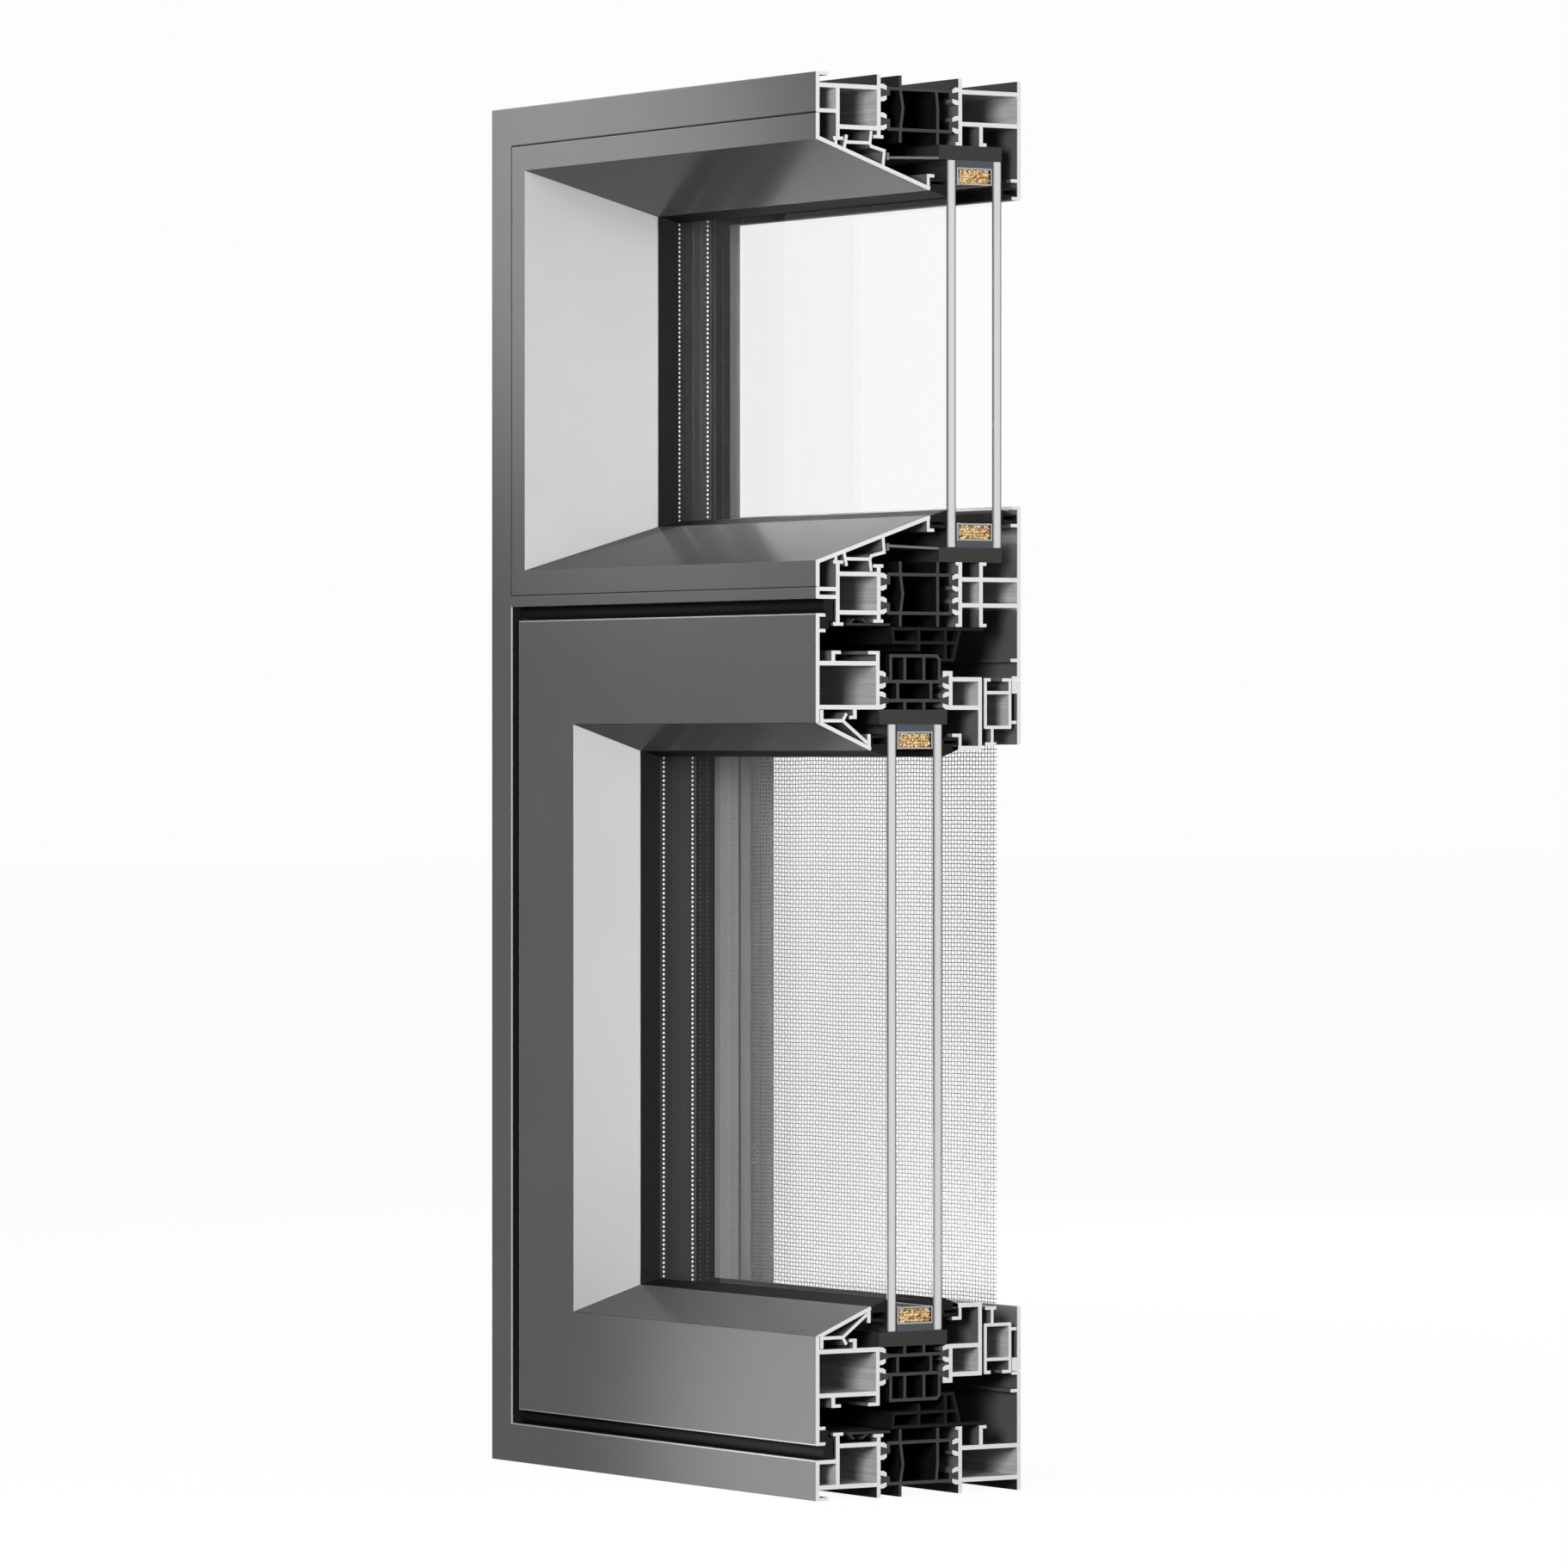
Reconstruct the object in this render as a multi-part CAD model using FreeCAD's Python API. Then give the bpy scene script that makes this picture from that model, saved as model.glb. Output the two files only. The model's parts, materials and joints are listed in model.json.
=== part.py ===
import FreeCAD, Part
import math
import os
from FreeCAD import Placement, Rotation, Vector

# Corner sample of an aluminium tilt and turn window: a fixed light over a sash with an insect screen.
# X runs along the front to the cut plane, Y from the interior face outwards, Z up from the floor.
# A section is drawn in depth (from the interior face) and rise (from the edge its ring starts at).

# Sample
sample_width = 280.0
sample_height = 640.0
transom_level = 406.65
transom_face = 5.3
transom_lift = 2.0

# Walls of the extrusions
main_wall = 2.0
fine_wall = 1.5
edge_round = 0.6
joint = 0.15
clearance = 0.3

# Frame profile
frame_face_rise = 18.3
frame_web_rise = 5.0
frame_chamber_rise = 23.3
frame_seat_rise = 30.3
frame_step = 10.8
frame_inner_depth = 34.9
frame_break_gap = 42.3
frame_outer_depth = 34.3
frame_outer_web_rise = 19.5
frame_leg_depth = 11.4
facade_rise = 54.0
lip_depth = 3.6
lip_hook = 9.5
lip_return = 3.0

# Claws that hold the insulating bars
claw_reach = 3.3
claw_wall = 1.9
claw_lean = 0.8
foot_rise = 4.1
frame_low_foot = 8.1
frame_high_foot = 21.0

# Insulating bar of the frame
bar_wall = 1.5
frame_bar_near_web = 11.4
frame_bar_far_web = 31.0

# Sash profile
sash_gap = 6.5
sash_face_rise = 49.0
sash_web_rise = 21.3
sash_seat_rise = 43.0
sash_inner_back = 0.5
sash_outer_back = 5.2
sash_break_rise = 16.7
sash_groove_depth = 8.4
groove_foot = 5.1
groove_lip = 5.8
gasket_groove_rise = 7.0
gasket_groove_depth = 5.2
sash_outer_rise = 28.2
sash_lip_rise = 61.3
sash_low_foot = 29.6
sash_high_foot = 38.9
sash_bar_rise = 18.0
sash_bar_near = 6.0
sash_bar_far = 5.2
sash_bar_web = 13.6
sash_bar_rib = 9.8
sash_clip_depth = 20.0
sash_clip_rise = 4.3
sash_hook_depth = 5.4
sash_hook_rise = 53.8

# Glazing
pane = 5.0
pane_space = 20.0
fixed_inner_gasket = 9.5
fixed_outer_gasket = 8.5
sash_inner_gasket = 9.0
sash_outer_gasket = 8.9
gasket_lip = 1.7
gasket_wall = 0.9
gasket_slope = 5.5
block_rise = 6.6
block_near = 4.4
block_far = 2.5
spacer_inset = 3.3
spacer_rise = 7.7
spacer_wall = 0.6
spacer_side_gap = 0.5

# Glazing beads
bead_wall = 1.8
fixed_bead_face = 30.2
fixed_bead_tip_rise = 51.3
sash_bead_tip_rise = 61.6
bead_nose = 7.5
bead_clip = 3.2
flap_wall = 1.1

# Centre seal
seal_wall = 1.5
seal_start = 5.6
seal_web = 15.2
seal_over = 1.8
seal_tail = 12.0
seal_lip = 9.5
seal_lean = 4.8
seal_rise = 15.4
cover_wall = 1.0
cover_leg = 4.0

# Insect screen
screen_gap = 1.2
screen_depth = 15.0
screen_wall = 1.5
screen_foot = 3.6
screen_rise = 53.4
screen_web_rise = 59.2
screen_top_rise = 76.4
screen_lip_rise = 84.0
screen_leg_depth = 3.7
surround_rise = 83.5
surround_clip = 6.0
surround_grip = 3.2
mesh_sheet = 0.4
mesh_pitch = 22.0
mesh_rib = 3.0

# Worked out from the above
frame_far_wall = frame_inner_depth + frame_break_gap
frame_depth = frame_far_wall + frame_outer_depth
facade = frame_depth - main_wall
screen_far = facade - surround_grip
screen_near = screen_far - screen_depth
sash_inner_depth = frame_inner_depth - sash_inner_back
sash_far_wall = frame_far_wall - sash_outer_back
sash_depth = screen_near - screen_gap
sash_hook = sash_far_wall + sash_hook_depth
transom_half = frame_face_rise - transom_face / 2
unit_depth = 2 * pane + pane_space
fixed_glass_depth = facade - fixed_outer_gasket - unit_depth
sash_glass_depth = sash_hook - sash_outer_gasket - unit_depth
fixed_bead_tip_depth = fixed_glass_depth - fixed_inner_gasket
sash_bead_tip_depth = sash_glass_depth - sash_inner_gasket
fixed_glass_rise = frame_seat_rise + block_rise
sash_glass_rise = sash_seat_rise + block_rise
seal_near = frame_inner_depth + seal_start
seal_far = frame_far_wall + seal_over
right = sample_width / 2
left = -right
sash_margin = frame_face_rise + sash_gap

# Rings of the sample: left edge, bottom and top
frame_ring = (left, 0.0, sample_height)
light_ring = (left, transom_level - transom_half, sample_height)
rebate_ring = (left, 0.0, transom_level + transom_half)
sash_ring = (left + sash_margin, sash_margin, transom_level + transom_half - sash_margin)


def outline(points):
    # a closed section, where a third value on a corner rounds it
    spots = [Vector(0, point[0], point[1]) for point in points]
    rounds = [point[2] if len(point) > 2 else 0 for point in points]
    edges = []
    last = None
    for index, (corner, radius) in enumerate(zip(spots, rounds)):
        back = (spots[index - 1] - corner).normalize()
        ahead = (spots[(index + 1) % len(spots)] - corner).normalize()
        half = back.getAngle(ahead) / 2
        entry, leave = [corner + way * (radius / math.tan(half)) for way in (back, ahead)]
        if last is not None:
            edges.append(Part.makeLine(last, entry))
        else:
            first = entry
        if radius:
            middle = corner + (back + ahead).normalize() * (radius / math.sin(half) - radius)
            edges.append(Part.Arc(entry, middle, leave).toShape())
        last = leave
    edges.append(Part.makeLine(last, first))
    return Part.Face(Part.Wire(edges))


def block(near, far, low, high):
    return outline([(near, low), (far, low), (far, high), (near, high)])


def wall(points, thick):
    # a strip of even thickness along a centre line, mitred at its corners
    line = [Vector(0, depth, rise) for depth, rise in points]
    legs = [(end - start).normalize() for start, end in zip(line, line[1:])]
    sides = [Vector(0, -leg.z, leg.y) for leg in legs]
    edge = []
    for index, point in enumerate(line):
        both = sides[max(index - 1, 0)] + sides[min(index, len(sides) - 1)]
        edge.append((point, both * (thick / both.dot(both))))
    rim = [point + shift for point, shift in edge] + [point - shift for point, shift in reversed(edge)]
    return Part.Face(Part.makePolygon(rim + rim[:1]))


def join(*faces):
    # one section from pieces that overlap: an edge between two cells is inside it and goes
    cells = faces[0].fuse(list(faces[1:])).Faces
    found = {}
    for edge in [edge for cell in cells for edge in cell.Edges]:
        found.setdefault(edge.hashCode(), []).append(edge)
    rim = [same[0] for same in found.values() if len(same) == 1]
    wires = [Part.Wire(group) for group in Part.sortEdges(rim)]
    return Part.makeFace(wires, "Part::FaceMakerBullseye")


def mirrored(section):
    return section.mirror(Vector(0, 0, 0), Vector(0, 0, 1))


def raised(section, rise):
    return section.translated(Vector(0, 0, rise))


def save(name, shape):
    shape = shape.removeSplitter() if len(shape.Solids) == 1 else shape
    assert shape.isValid() and shape.Solids, name
    shape.exportStep(os.path.join("parts", name + ".step"))


def mitre(corners):
    # the part of the elevation that one length of a ring keeps
    points = [Vector(x, -frame_depth, z) for x, z in corners]
    face = Part.Face(Part.makePolygon(points + points[:1]))
    return face.extrude(Vector(0, 2 * frame_depth, 0))


def lengths(section, ring):
    # top, side and bottom lengths of a three-sided ring, mitred at the left corners
    start, bottom, top = ring
    reach = min((top - bottom) / 2, right - start)
    run = section.extrude(Vector(right - start, 0, 0))
    post = section.extrude(Vector(top - bottom, 0, 0))
    front = -frame_depth / 2
    axis = Vector(0, 1, 0)
    run_top = run.copy()
    run_top.Placement = Placement(Vector(right, front, top), Rotation(axis, 180))
    post.Placement = Placement(Vector(start, front, top), Rotation(axis, 90))
    run_bottom = run.copy()
    run_bottom.Placement = Placement(Vector(start, front, bottom), Rotation())
    inner = start + reach
    keep_top = mitre([(start, top), (right, top), (right, top - reach), (inner, top - reach)])
    keep_side = mitre([(start, bottom), (start, top), (inner, top - reach), (inner, bottom + reach)])
    keep_bottom = mitre([(start, bottom), (right, bottom), (right, bottom + reach), (inner, bottom + reach)])
    return run_top.common(keep_top), post.common(keep_side), run_bottom.common(keep_bottom)


def loop(section, ring):
    top, side, bottom = lengths(section, ring)
    return top.fuse([side, bottom]).removeSplitter()


def save_lengths(names, section, ring):
    for name, shape in zip(names, lengths(section, ring)):
        save(name, shape)


def claws(wall_depth, way, feet):
    # prongs on a shell's wall, one pair to each foot of an insulating bar, bent in over it
    prongs = []
    root = wall_depth - way * fine_wall / 2
    bend = wall_depth + way * claw_reach / 2
    end = wall_depth + way * claw_reach
    for foot in feet:
        for side in (-1, 1):
            low = foot + side * foot_rise / 2
            high = low + side * claw_wall
            prongs.append(outline([(root, low), (wall_depth, low), (end, low - side * claw_lean),
                                   (end, high - side * claw_wall / 2), (bend, high), (root, high)]))
    return prongs


def feet(near_wall, far_wall, rises):
    # dovetailed feet of an insulating bar, from the shells' walls to just past their claws
    half = foot_rise / 2
    narrow = half - claw_lean
    pieces = []
    for wall_depth, way in ((near_wall, 1), (far_wall, -1)):
        end = wall_depth + way * claw_reach
        heel = end + way * bar_wall
        for rise in rises:
            pieces.append(outline([(wall_depth, rise - half), (end, rise - narrow), (heel, rise - narrow),
                                   (heel, rise + narrow), (end, rise + narrow), (wall_depth, rise + half)]))
    return pieces


def frame_inner():
    flange = frame_face_rise - bead_wall
    step_far = frame_step + main_wall
    break_near = frame_inner_depth - main_wall
    return join(
        outline([(0, 0, edge_round), (main_wall, 0), (main_wall, frame_face_rise),
                 (0, frame_face_rise, edge_round)]),
        block(fine_wall, step_far - fine_wall, flange, frame_face_rise),
        block(fine_wall, frame_step - 2 * main_wall, 0, fine_wall),
        block(0, frame_inner_depth, frame_web_rise, frame_web_rise + main_wall),
        block(frame_step, step_far, frame_web_rise, frame_seat_rise),
        block(frame_step - fine_wall, step_far + main_wall, frame_seat_rise - fine_wall, frame_seat_rise),
        block(frame_step, frame_inner_depth, frame_chamber_rise, frame_chamber_rise + main_wall),
        block(break_near, frame_inner_depth, 0, frame_seat_rise - fine_wall),
        block(break_near - main_wall, frame_inner_depth + fine_wall,
              frame_seat_rise - 2 * fine_wall, frame_seat_rise - fine_wall),
        *claws(frame_inner_depth, 1, (frame_low_foot, frame_high_foot)))


def frame_break():
    # one hollow bar: two long walls on the feet, two cross walls and legs towards the rebate
    near_web = frame_inner_depth + frame_bar_near_web
    far_web = frame_inner_depth + frame_bar_far_web
    bar_near = frame_inner_depth + claw_reach + clearance
    bar_far = frame_far_wall - claw_reach - clearance
    narrow = foot_rise / 2 - claw_lean
    low = frame_low_foot - foot_rise / 2
    high = frame_high_foot + foot_rise
    half = bar_wall / 2
    drops = []
    for near, far in ((bar_near, bar_near + bar_wall), (bar_far - bar_wall, bar_far)):
        drops.append(block(near, far, low - half, frame_low_foot + narrow))
        drops.append(block(near, far, frame_high_foot - narrow, high))
    bend = (near_web + half, (frame_low_foot + frame_high_foot) / 2)
    return join(
        block(bar_near, bar_far, low - half, low + half),
        block(bar_near, bar_far, high - bar_wall, high),
        wall([(near_web - half, low), bend, (near_web - half, high), (near_web - half, frame_seat_rise)], bar_wall),
        wall([(far_web - half, low), (far_web, bend[1]), (far_web, frame_seat_rise)], bar_wall),
        block(near_web - bar_wall, near_web, 0, low),
        *drops,
        *feet(frame_inner_depth, frame_far_wall, (frame_low_foot, frame_high_foot)))


def frame_outer(lift=0.0, leg_low=frame_outer_web_rise):
    # lift raises the web and the facade lip, as on the upper side of the transom, whose leg runs through
    break_far = frame_far_wall + main_wall
    leg = frame_far_wall + frame_leg_depth
    web = frame_outer_web_rise + lift
    lip = facade_rise + lift
    return join(
        block(frame_far_wall, break_far, 0, frame_seat_rise),
        block(frame_far_wall - fine_wall, break_far, frame_seat_rise - fine_wall, frame_seat_rise),
        block(frame_far_wall, facade, frame_web_rise, frame_web_rise + main_wall),
        block(frame_far_wall, facade, web, web + main_wall),
        block(leg, leg + main_wall, leg_low, frame_seat_rise),
        block(leg, leg + 2 * main_wall, frame_seat_rise - fine_wall, frame_seat_rise),
        outline([(facade, 0), (frame_depth, 0, edge_round), (frame_depth, lip, edge_round), (facade, lip)]),
        block(facade - lip_depth, facade + fine_wall, lip - lip_hook, lip - lip_hook + fine_wall),
        block(facade - lip_return, facade + fine_wall / 2, lip - fine_wall, lip),
        *claws(frame_far_wall, -1, (frame_low_foot, frame_high_foot)))


def transom(upper, lower):
    # the frame's section above and below the middle, butted against the jamb
    clip = block(-frame_depth, 2 * frame_depth, transom_half, 2 * facade_rise)
    over, under = [raised(section.common(clip), -transom_half) for section in (upper, lower)]
    both = join(over, mirrored(under))
    bar = both.extrude(Vector(sample_width, 0, 0))
    bar.translate(Vector(left, -frame_depth / 2, transom_level))
    steps = [(0, frame_face_rise), (frame_step - fine_wall, frame_seat_rise), (facade - lip_depth, facade_rise)]
    for depth, reach in steps:
        gap = Part.makeBox(reach, frame_depth, sample_height, Vector(left, depth - frame_depth / 2, 0))
        bar = bar.cut(gap)
    return bar


def slope(start, end, thick):
    # a wall whose visible side runs from start to a rounded end and whose thickness lies below it
    run = Vector(0, end[0] - start[0], end[1] - start[1]).normalize()
    down = (run.z * thick, -run.y * thick)
    below = [(point[0] + down[0], point[1] + down[1]) for point in (end, start)]
    return outline([start, end + (edge_round,)] + below)


def fixed_bead():
    # face wall and slope, clipped behind the frame's two feet, with a nose for the gasket
    tip = (fixed_bead_tip_depth, fixed_bead_tip_rise)
    pitch = (fixed_bead_tip_rise - fixed_bead_face) / fixed_bead_tip_depth

    def under_slope(depth):
        return fixed_bead_face + pitch * depth - bead_wall

    face_low = frame_face_rise + joint
    half = fine_wall / 2
    clip_near = frame_step + 2 * main_wall + clearance + half
    clip_far = frame_inner_depth - 2 * main_wall - clearance - half
    web = frame_seat_rise + half
    back = frame_inner_depth + main_wall
    knee = web + bead_clip
    nose = fixed_bead_tip_depth - fine_wall
    nose_low = fixed_bead_tip_rise - bead_nose
    return join(
        outline([(0, face_low, edge_round), (main_wall, face_low), (main_wall, fixed_bead_face),
                 (0, fixed_bead_face)]),
        slope((0, fixed_bead_face), tip, bead_wall),
        wall([(frame_step, under_slope(frame_step) + half), (frame_step, frame_seat_rise)], fine_wall),
        wall([(clip_near - half, under_slope(clip_near) + half), (clip_near, web),
              (clip_near + half, web - bead_clip)], fine_wall),
        block(clip_near, clip_far, web - half, web + half),
        wall([(clip_far, frame_chamber_rise + main_wall + clearance), (clip_far - half, web),
              (clip_far, web + fine_wall), (back, knee), (back - half, under_slope(back) + half)], fine_wall),
        block(nose, nose + fine_wall, nose_low, fixed_bead_tip_rise - bead_wall / 2),
        block(nose, nose + 2 * main_wall, nose_low, nose_low + fine_wall))


def bead_flap():
    # a thin plastic strip from the bead's back leg to the glazing blocks
    back = frame_inner_depth + main_wall + fine_wall
    knee = frame_seat_rise + bead_clip + fine_wall
    end = fixed_glass_depth - block_near - joint
    low = frame_seat_rise + block_rise
    return join(
        wall([(back, knee + 2 * flap_wall), (end, low - flap_wall / 2)], flap_wall),
        block(back - joint, back + flap_wall, knee, knee + 3 * flap_wall))


def glazing_unit(prefix, ring, near, glass_rise):
    # two panes with a spacer between them, cut off flush with the profiles
    start, bottom, top = ring
    far = near + pane + pane_space
    for name, depth in (("pane_inner", near), ("pane_outer", far)):
        sheet = Part.makeBox(right - start - glass_rise, pane, top - bottom - 2 * glass_rise,
                             Vector(start + glass_rise, depth - frame_depth / 2, bottom + glass_rise))
        save(prefix + "_" + name, sheet)
    low = glass_rise + spacer_inset
    high = low + spacer_rise
    inner_near = near + pane
    body_near, body_far = inner_near + spacer_side_gap, far - spacer_side_gap
    body = block(body_near, body_far, low, high)
    hollow = block(body_near + spacer_wall, body_far - spacer_wall, low + spacer_wall, high - spacer_wall)
    save(prefix + "_spacer", loop(body.cut(hollow), ring))
    save(prefix + "_desiccant", loop(hollow, ring))
    sealant = join(block(inner_near, far, glass_rise, low),
                   block(inner_near, body_near, glass_rise, high),
                   block(body_far, far, glass_rise, high))
    save(prefix + "_sealant", loop(sealant, ring))


def glazing_blocks(prefix, ring, near, far, glass_rise):
    shape = loop(block(near, far, glass_rise - block_rise, glass_rise), ring)
    save(prefix + "_glazing_blocks", shape)


def gasket(grip, glass, low, high):
    # a hollow gasket between its groove and the glass, with a lip that climbs the pane
    way = math.copysign(1, glass - grip)
    body = outline([(grip, low + gasket_lip / 2), (glass - way * gasket_lip, low), (glass, low + gasket_lip / 2),
                    (glass, high + gasket_lip), (glass - way * gasket_slope, high), (grip, high)])
    near, far = sorted((grip + way * gasket_wall, glass - way * gasket_wall))
    return body.cut(block(near, far, low + gasket_lip, high - gasket_wall))


def overlap_gasket():
    # a foot in the groove of the sash's face, and a neck over the groove's lip
    near = gasket_groove_depth + joint
    far = frame_step - fine_wall - joint
    return join(
        block(main_wall + joint, near + bar_wall, fine_wall + joint, gasket_groove_rise - joint),
        block(near, far, 0, gasket_groove_rise / 2))


def sash_inner():
    break_near = sash_inner_depth - main_wall
    clip_top = sash_seat_rise + sash_clip_rise
    return join(
        outline([(0, 0, edge_round), (main_wall, 0), (main_wall, sash_face_rise), (0, sash_face_rise, joint)]),
        outline([(fine_wall, 0), (gasket_groove_depth, 0, edge_round), (gasket_groove_depth, fine_wall),
                 (fine_wall, fine_wall)]),
        block(fine_wall, gasket_groove_depth, gasket_groove_rise, gasket_groove_rise + fine_wall),
        block(fine_wall, sash_inner_depth, sash_web_rise, sash_web_rise + main_wall),
        block(fine_wall, sash_inner_depth, sash_seat_rise - main_wall, sash_seat_rise),
        block(break_near, sash_inner_depth, sash_break_rise, sash_seat_rise),
        block(sash_groove_depth, sash_groove_depth + main_wall, sash_break_rise, sash_web_rise),
        block(sash_groove_depth, sash_groove_depth + groove_foot, sash_break_rise, sash_break_rise + fine_wall),
        block(break_near - groove_lip + fine_wall, sash_inner_depth, sash_break_rise, sash_break_rise + fine_wall),
        block(sash_clip_depth, sash_clip_depth + main_wall, sash_seat_rise, clip_top),
        block(sash_clip_depth - main_wall, sash_clip_depth + main_wall, clip_top - fine_wall, clip_top),
        *claws(sash_inner_depth, 1, (sash_low_foot, sash_high_foot)))


def sash_break():
    # a hollow bar with three cells towards the rebate and legs towards the glass
    bar_near = sash_inner_depth + claw_reach + clearance
    bar_far = sash_far_wall - claw_reach - clearance
    first, last = sash_inner_depth + sash_bar_near, sash_far_wall - sash_bar_far
    webs = (sash_inner_depth + sash_bar_web, sash_far_wall - sash_bar_web)
    ribs = (sash_inner_depth + sash_bar_rib, sash_far_wall - sash_bar_rib)
    half = bar_wall / 2
    floor = sash_bar_rise + half
    shell = wall([(first, sash_low_foot), (first, floor), (last - bar_wall, floor), (last, floor + bar_wall),
                  (last, sash_low_foot)], bar_wall)
    cells = [block(web - half, web + half, sash_bar_rise, sash_low_foot + half) for web in webs]
    middle = [block(rib - half, rib + half, sash_low_foot, sash_high_foot) for rib in ribs]
    legs = [block(web - half, web + half, sash_high_foot, sash_seat_rise) for web in webs]
    return join(
        shell,
        block(bar_near, bar_far, sash_low_foot, sash_low_foot + bar_wall),
        block(bar_near, bar_far, sash_high_foot - half, sash_high_foot + half),
        *cells, *middle, *legs,
        *feet(sash_inner_depth, sash_far_wall, (sash_low_foot, sash_high_foot)))


def sash_outer():
    break_far = sash_far_wall + main_wall
    lip = sash_depth - main_wall
    return join(
        block(sash_far_wall, break_far, sash_low_foot - foot_rise, sash_seat_rise),
        block(sash_far_wall - claw_reach, break_far,
              sash_low_foot - foot_rise, sash_low_foot - foot_rise + fine_wall),
        block(sash_far_wall, lip + fine_wall, sash_outer_rise, sash_outer_rise + main_wall),
        block(sash_far_wall, lip + fine_wall, sash_seat_rise - main_wall, sash_seat_rise),
        outline([(lip, sash_outer_rise), (sash_depth, sash_outer_rise, edge_round),
                 (sash_depth, sash_lip_rise, edge_round), (lip, sash_lip_rise)]),
        outline([(break_far, sash_lip_rise - main_wall), (lip + fine_wall / 2, sash_lip_rise - main_wall),
                 (lip + fine_wall / 2, sash_lip_rise), (break_far, sash_lip_rise, edge_round)]),
        block(sash_hook, sash_hook + fine_wall, sash_hook_rise, sash_lip_rise - fine_wall / 2),
        block(sash_hook - lip_depth, sash_hook + fine_wall, sash_hook_rise, sash_hook_rise + fine_wall),
        *claws(sash_far_wall, -1, (sash_low_foot, sash_high_foot)))


def sash_bead():
    # the sloped wall starts on the face wall's edge and the prongs reach behind it
    tip = (sash_bead_tip_depth, sash_bead_tip_rise)
    low = sash_face_rise + joint
    web_far = sash_clip_depth - 2 * main_wall - fine_wall
    web = sash_face_rise - fine_wall / 2 - joint
    nose = sash_bead_tip_depth - bead_wall
    prong = main_wall + clearance
    pieces = join(
        slope((0, low), tip, bead_wall),
        block(prong, web_far, web - fine_wall / 2, web + fine_wall / 2),
        block(prong, prong + bead_wall, sash_seat_rise + clearance, low),
        wall([(web_far, web), (web_far + main_wall, sash_seat_rise + clearance + fine_wall)], fine_wall),
        wall([(web_far, web), (nose, sash_bead_tip_rise - 2 * bead_wall)], fine_wall),
        block(nose, sash_bead_tip_depth, sash_bead_tip_rise - bead_nose, sash_bead_tip_rise - bead_wall / 2))
    return pieces.cut(block(-main_wall, prong, 0, low))


def centre_seal():
    # a chambered rubber profile on the rebate, whose tall lip meets the sash's bar
    base = frame_seat_rise + clearance
    middle = base + seal_rise / 2
    high = base + seal_rise
    web = seal_near + seal_web
    lip = seal_far - seal_lip
    lean = seal_far - seal_lean
    sash_bar_side = sash_far_wall - sash_bar_far + bar_wall / 2
    return join(
        block(seal_near, seal_far + seal_tail, base, base + seal_wall),
        wall([(seal_near + seal_wall / 2, base), (seal_near + seal_wall, middle)], seal_wall),
        block(seal_near + seal_wall, seal_far - seal_lean / 2, middle - seal_wall, middle),
        block(web - seal_wall / 2, web + seal_wall / 2, base, middle + 2 * seal_wall),
        block(lip, lip + seal_wall, base, high),
        wall([(seal_far - seal_wall / 2, base), (lean, high)], seal_wall),
        block(sash_bar_side + joint, lean, high - seal_wall, high))


def rebate_cover():
    # a clip-in strip that closes the channel between the two feet of the frame
    near = frame_step + 2 * main_wall + clearance + fine_wall
    far = seal_near - clearance
    base = frame_seat_rise - fine_wall + clearance
    leg = near + cover_leg
    return join(
        block(near, far, base, base + cover_wall),
        wall([(near + cover_wall, base + cover_wall / 2), (leg, base - cover_leg / 2)], cover_wall),
        wall([(leg + 2 * cover_leg, base + cover_wall / 2), (leg + cover_leg, base - cover_leg / 2)], cover_wall))


def screen_frame():
    near, far = screen_near, screen_far
    leg = near + screen_leg_depth
    fin = screen_top_rise - 2.5 * screen_wall
    return join(
        outline([(near, screen_rise), (near + screen_wall, screen_rise), (near + screen_wall, screen_top_rise),
                 (near, screen_top_rise, edge_round)]),
        outline([(far - screen_wall, screen_rise), (far, screen_rise), (far, screen_top_rise, edge_round),
                 (far - screen_wall, screen_top_rise)]),
        block(near, near + screen_foot, screen_rise, screen_rise + screen_wall),
        block(far - screen_foot - screen_wall, far, screen_rise, screen_rise + screen_wall),
        block(near, far, screen_web_rise, screen_web_rise + screen_wall),
        block(near + edge_round, far - edge_round, screen_top_rise - screen_wall, screen_top_rise),
        block(leg, leg + screen_wall, screen_top_rise, screen_lip_rise),
        block(leg - 2 * screen_wall, leg + 2 * screen_wall, screen_lip_rise - screen_wall, screen_lip_rise),
        block(far, facade - clearance, fin, fin + screen_wall))


def screen_surround():
    rise = facade_rise + clearance
    return join(
        outline([(facade, rise), (frame_depth, rise, edge_round), (frame_depth, surround_rise, edge_round),
                 (facade, surround_rise)]),
        block(screen_far + clearance, facade + fine_wall / 2, rise, rise + surround_clip))


def insect_screen():
    # a thin sheet with an even grid of openings
    start, bottom, top = rebate_ring
    depth = screen_near + screen_leg_depth + 2 * screen_wall
    reach = screen_lip_rise - 2 * screen_wall
    corner = Vector(start + reach, depth - frame_depth / 2, bottom + reach)
    wide, high = right - start - reach, top - bottom - 2 * reach
    columns, rows = round(wide / mesh_pitch), round(high / mesh_pitch)
    across, up = (wide - mesh_rib) / columns, (high - mesh_rib) / rows
    openings = []
    for column in range(columns):
        for row in range(rows):
            low = corner + Vector(mesh_rib + column * across, 0, mesh_rib + row * up)
            openings.append(Part.makeBox(across - mesh_rib, mesh_sheet, up - mesh_rib, low))
    return Part.makeBox(wide, mesh_sheet, high, corner).cut(Part.makeCompound(openings))


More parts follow.
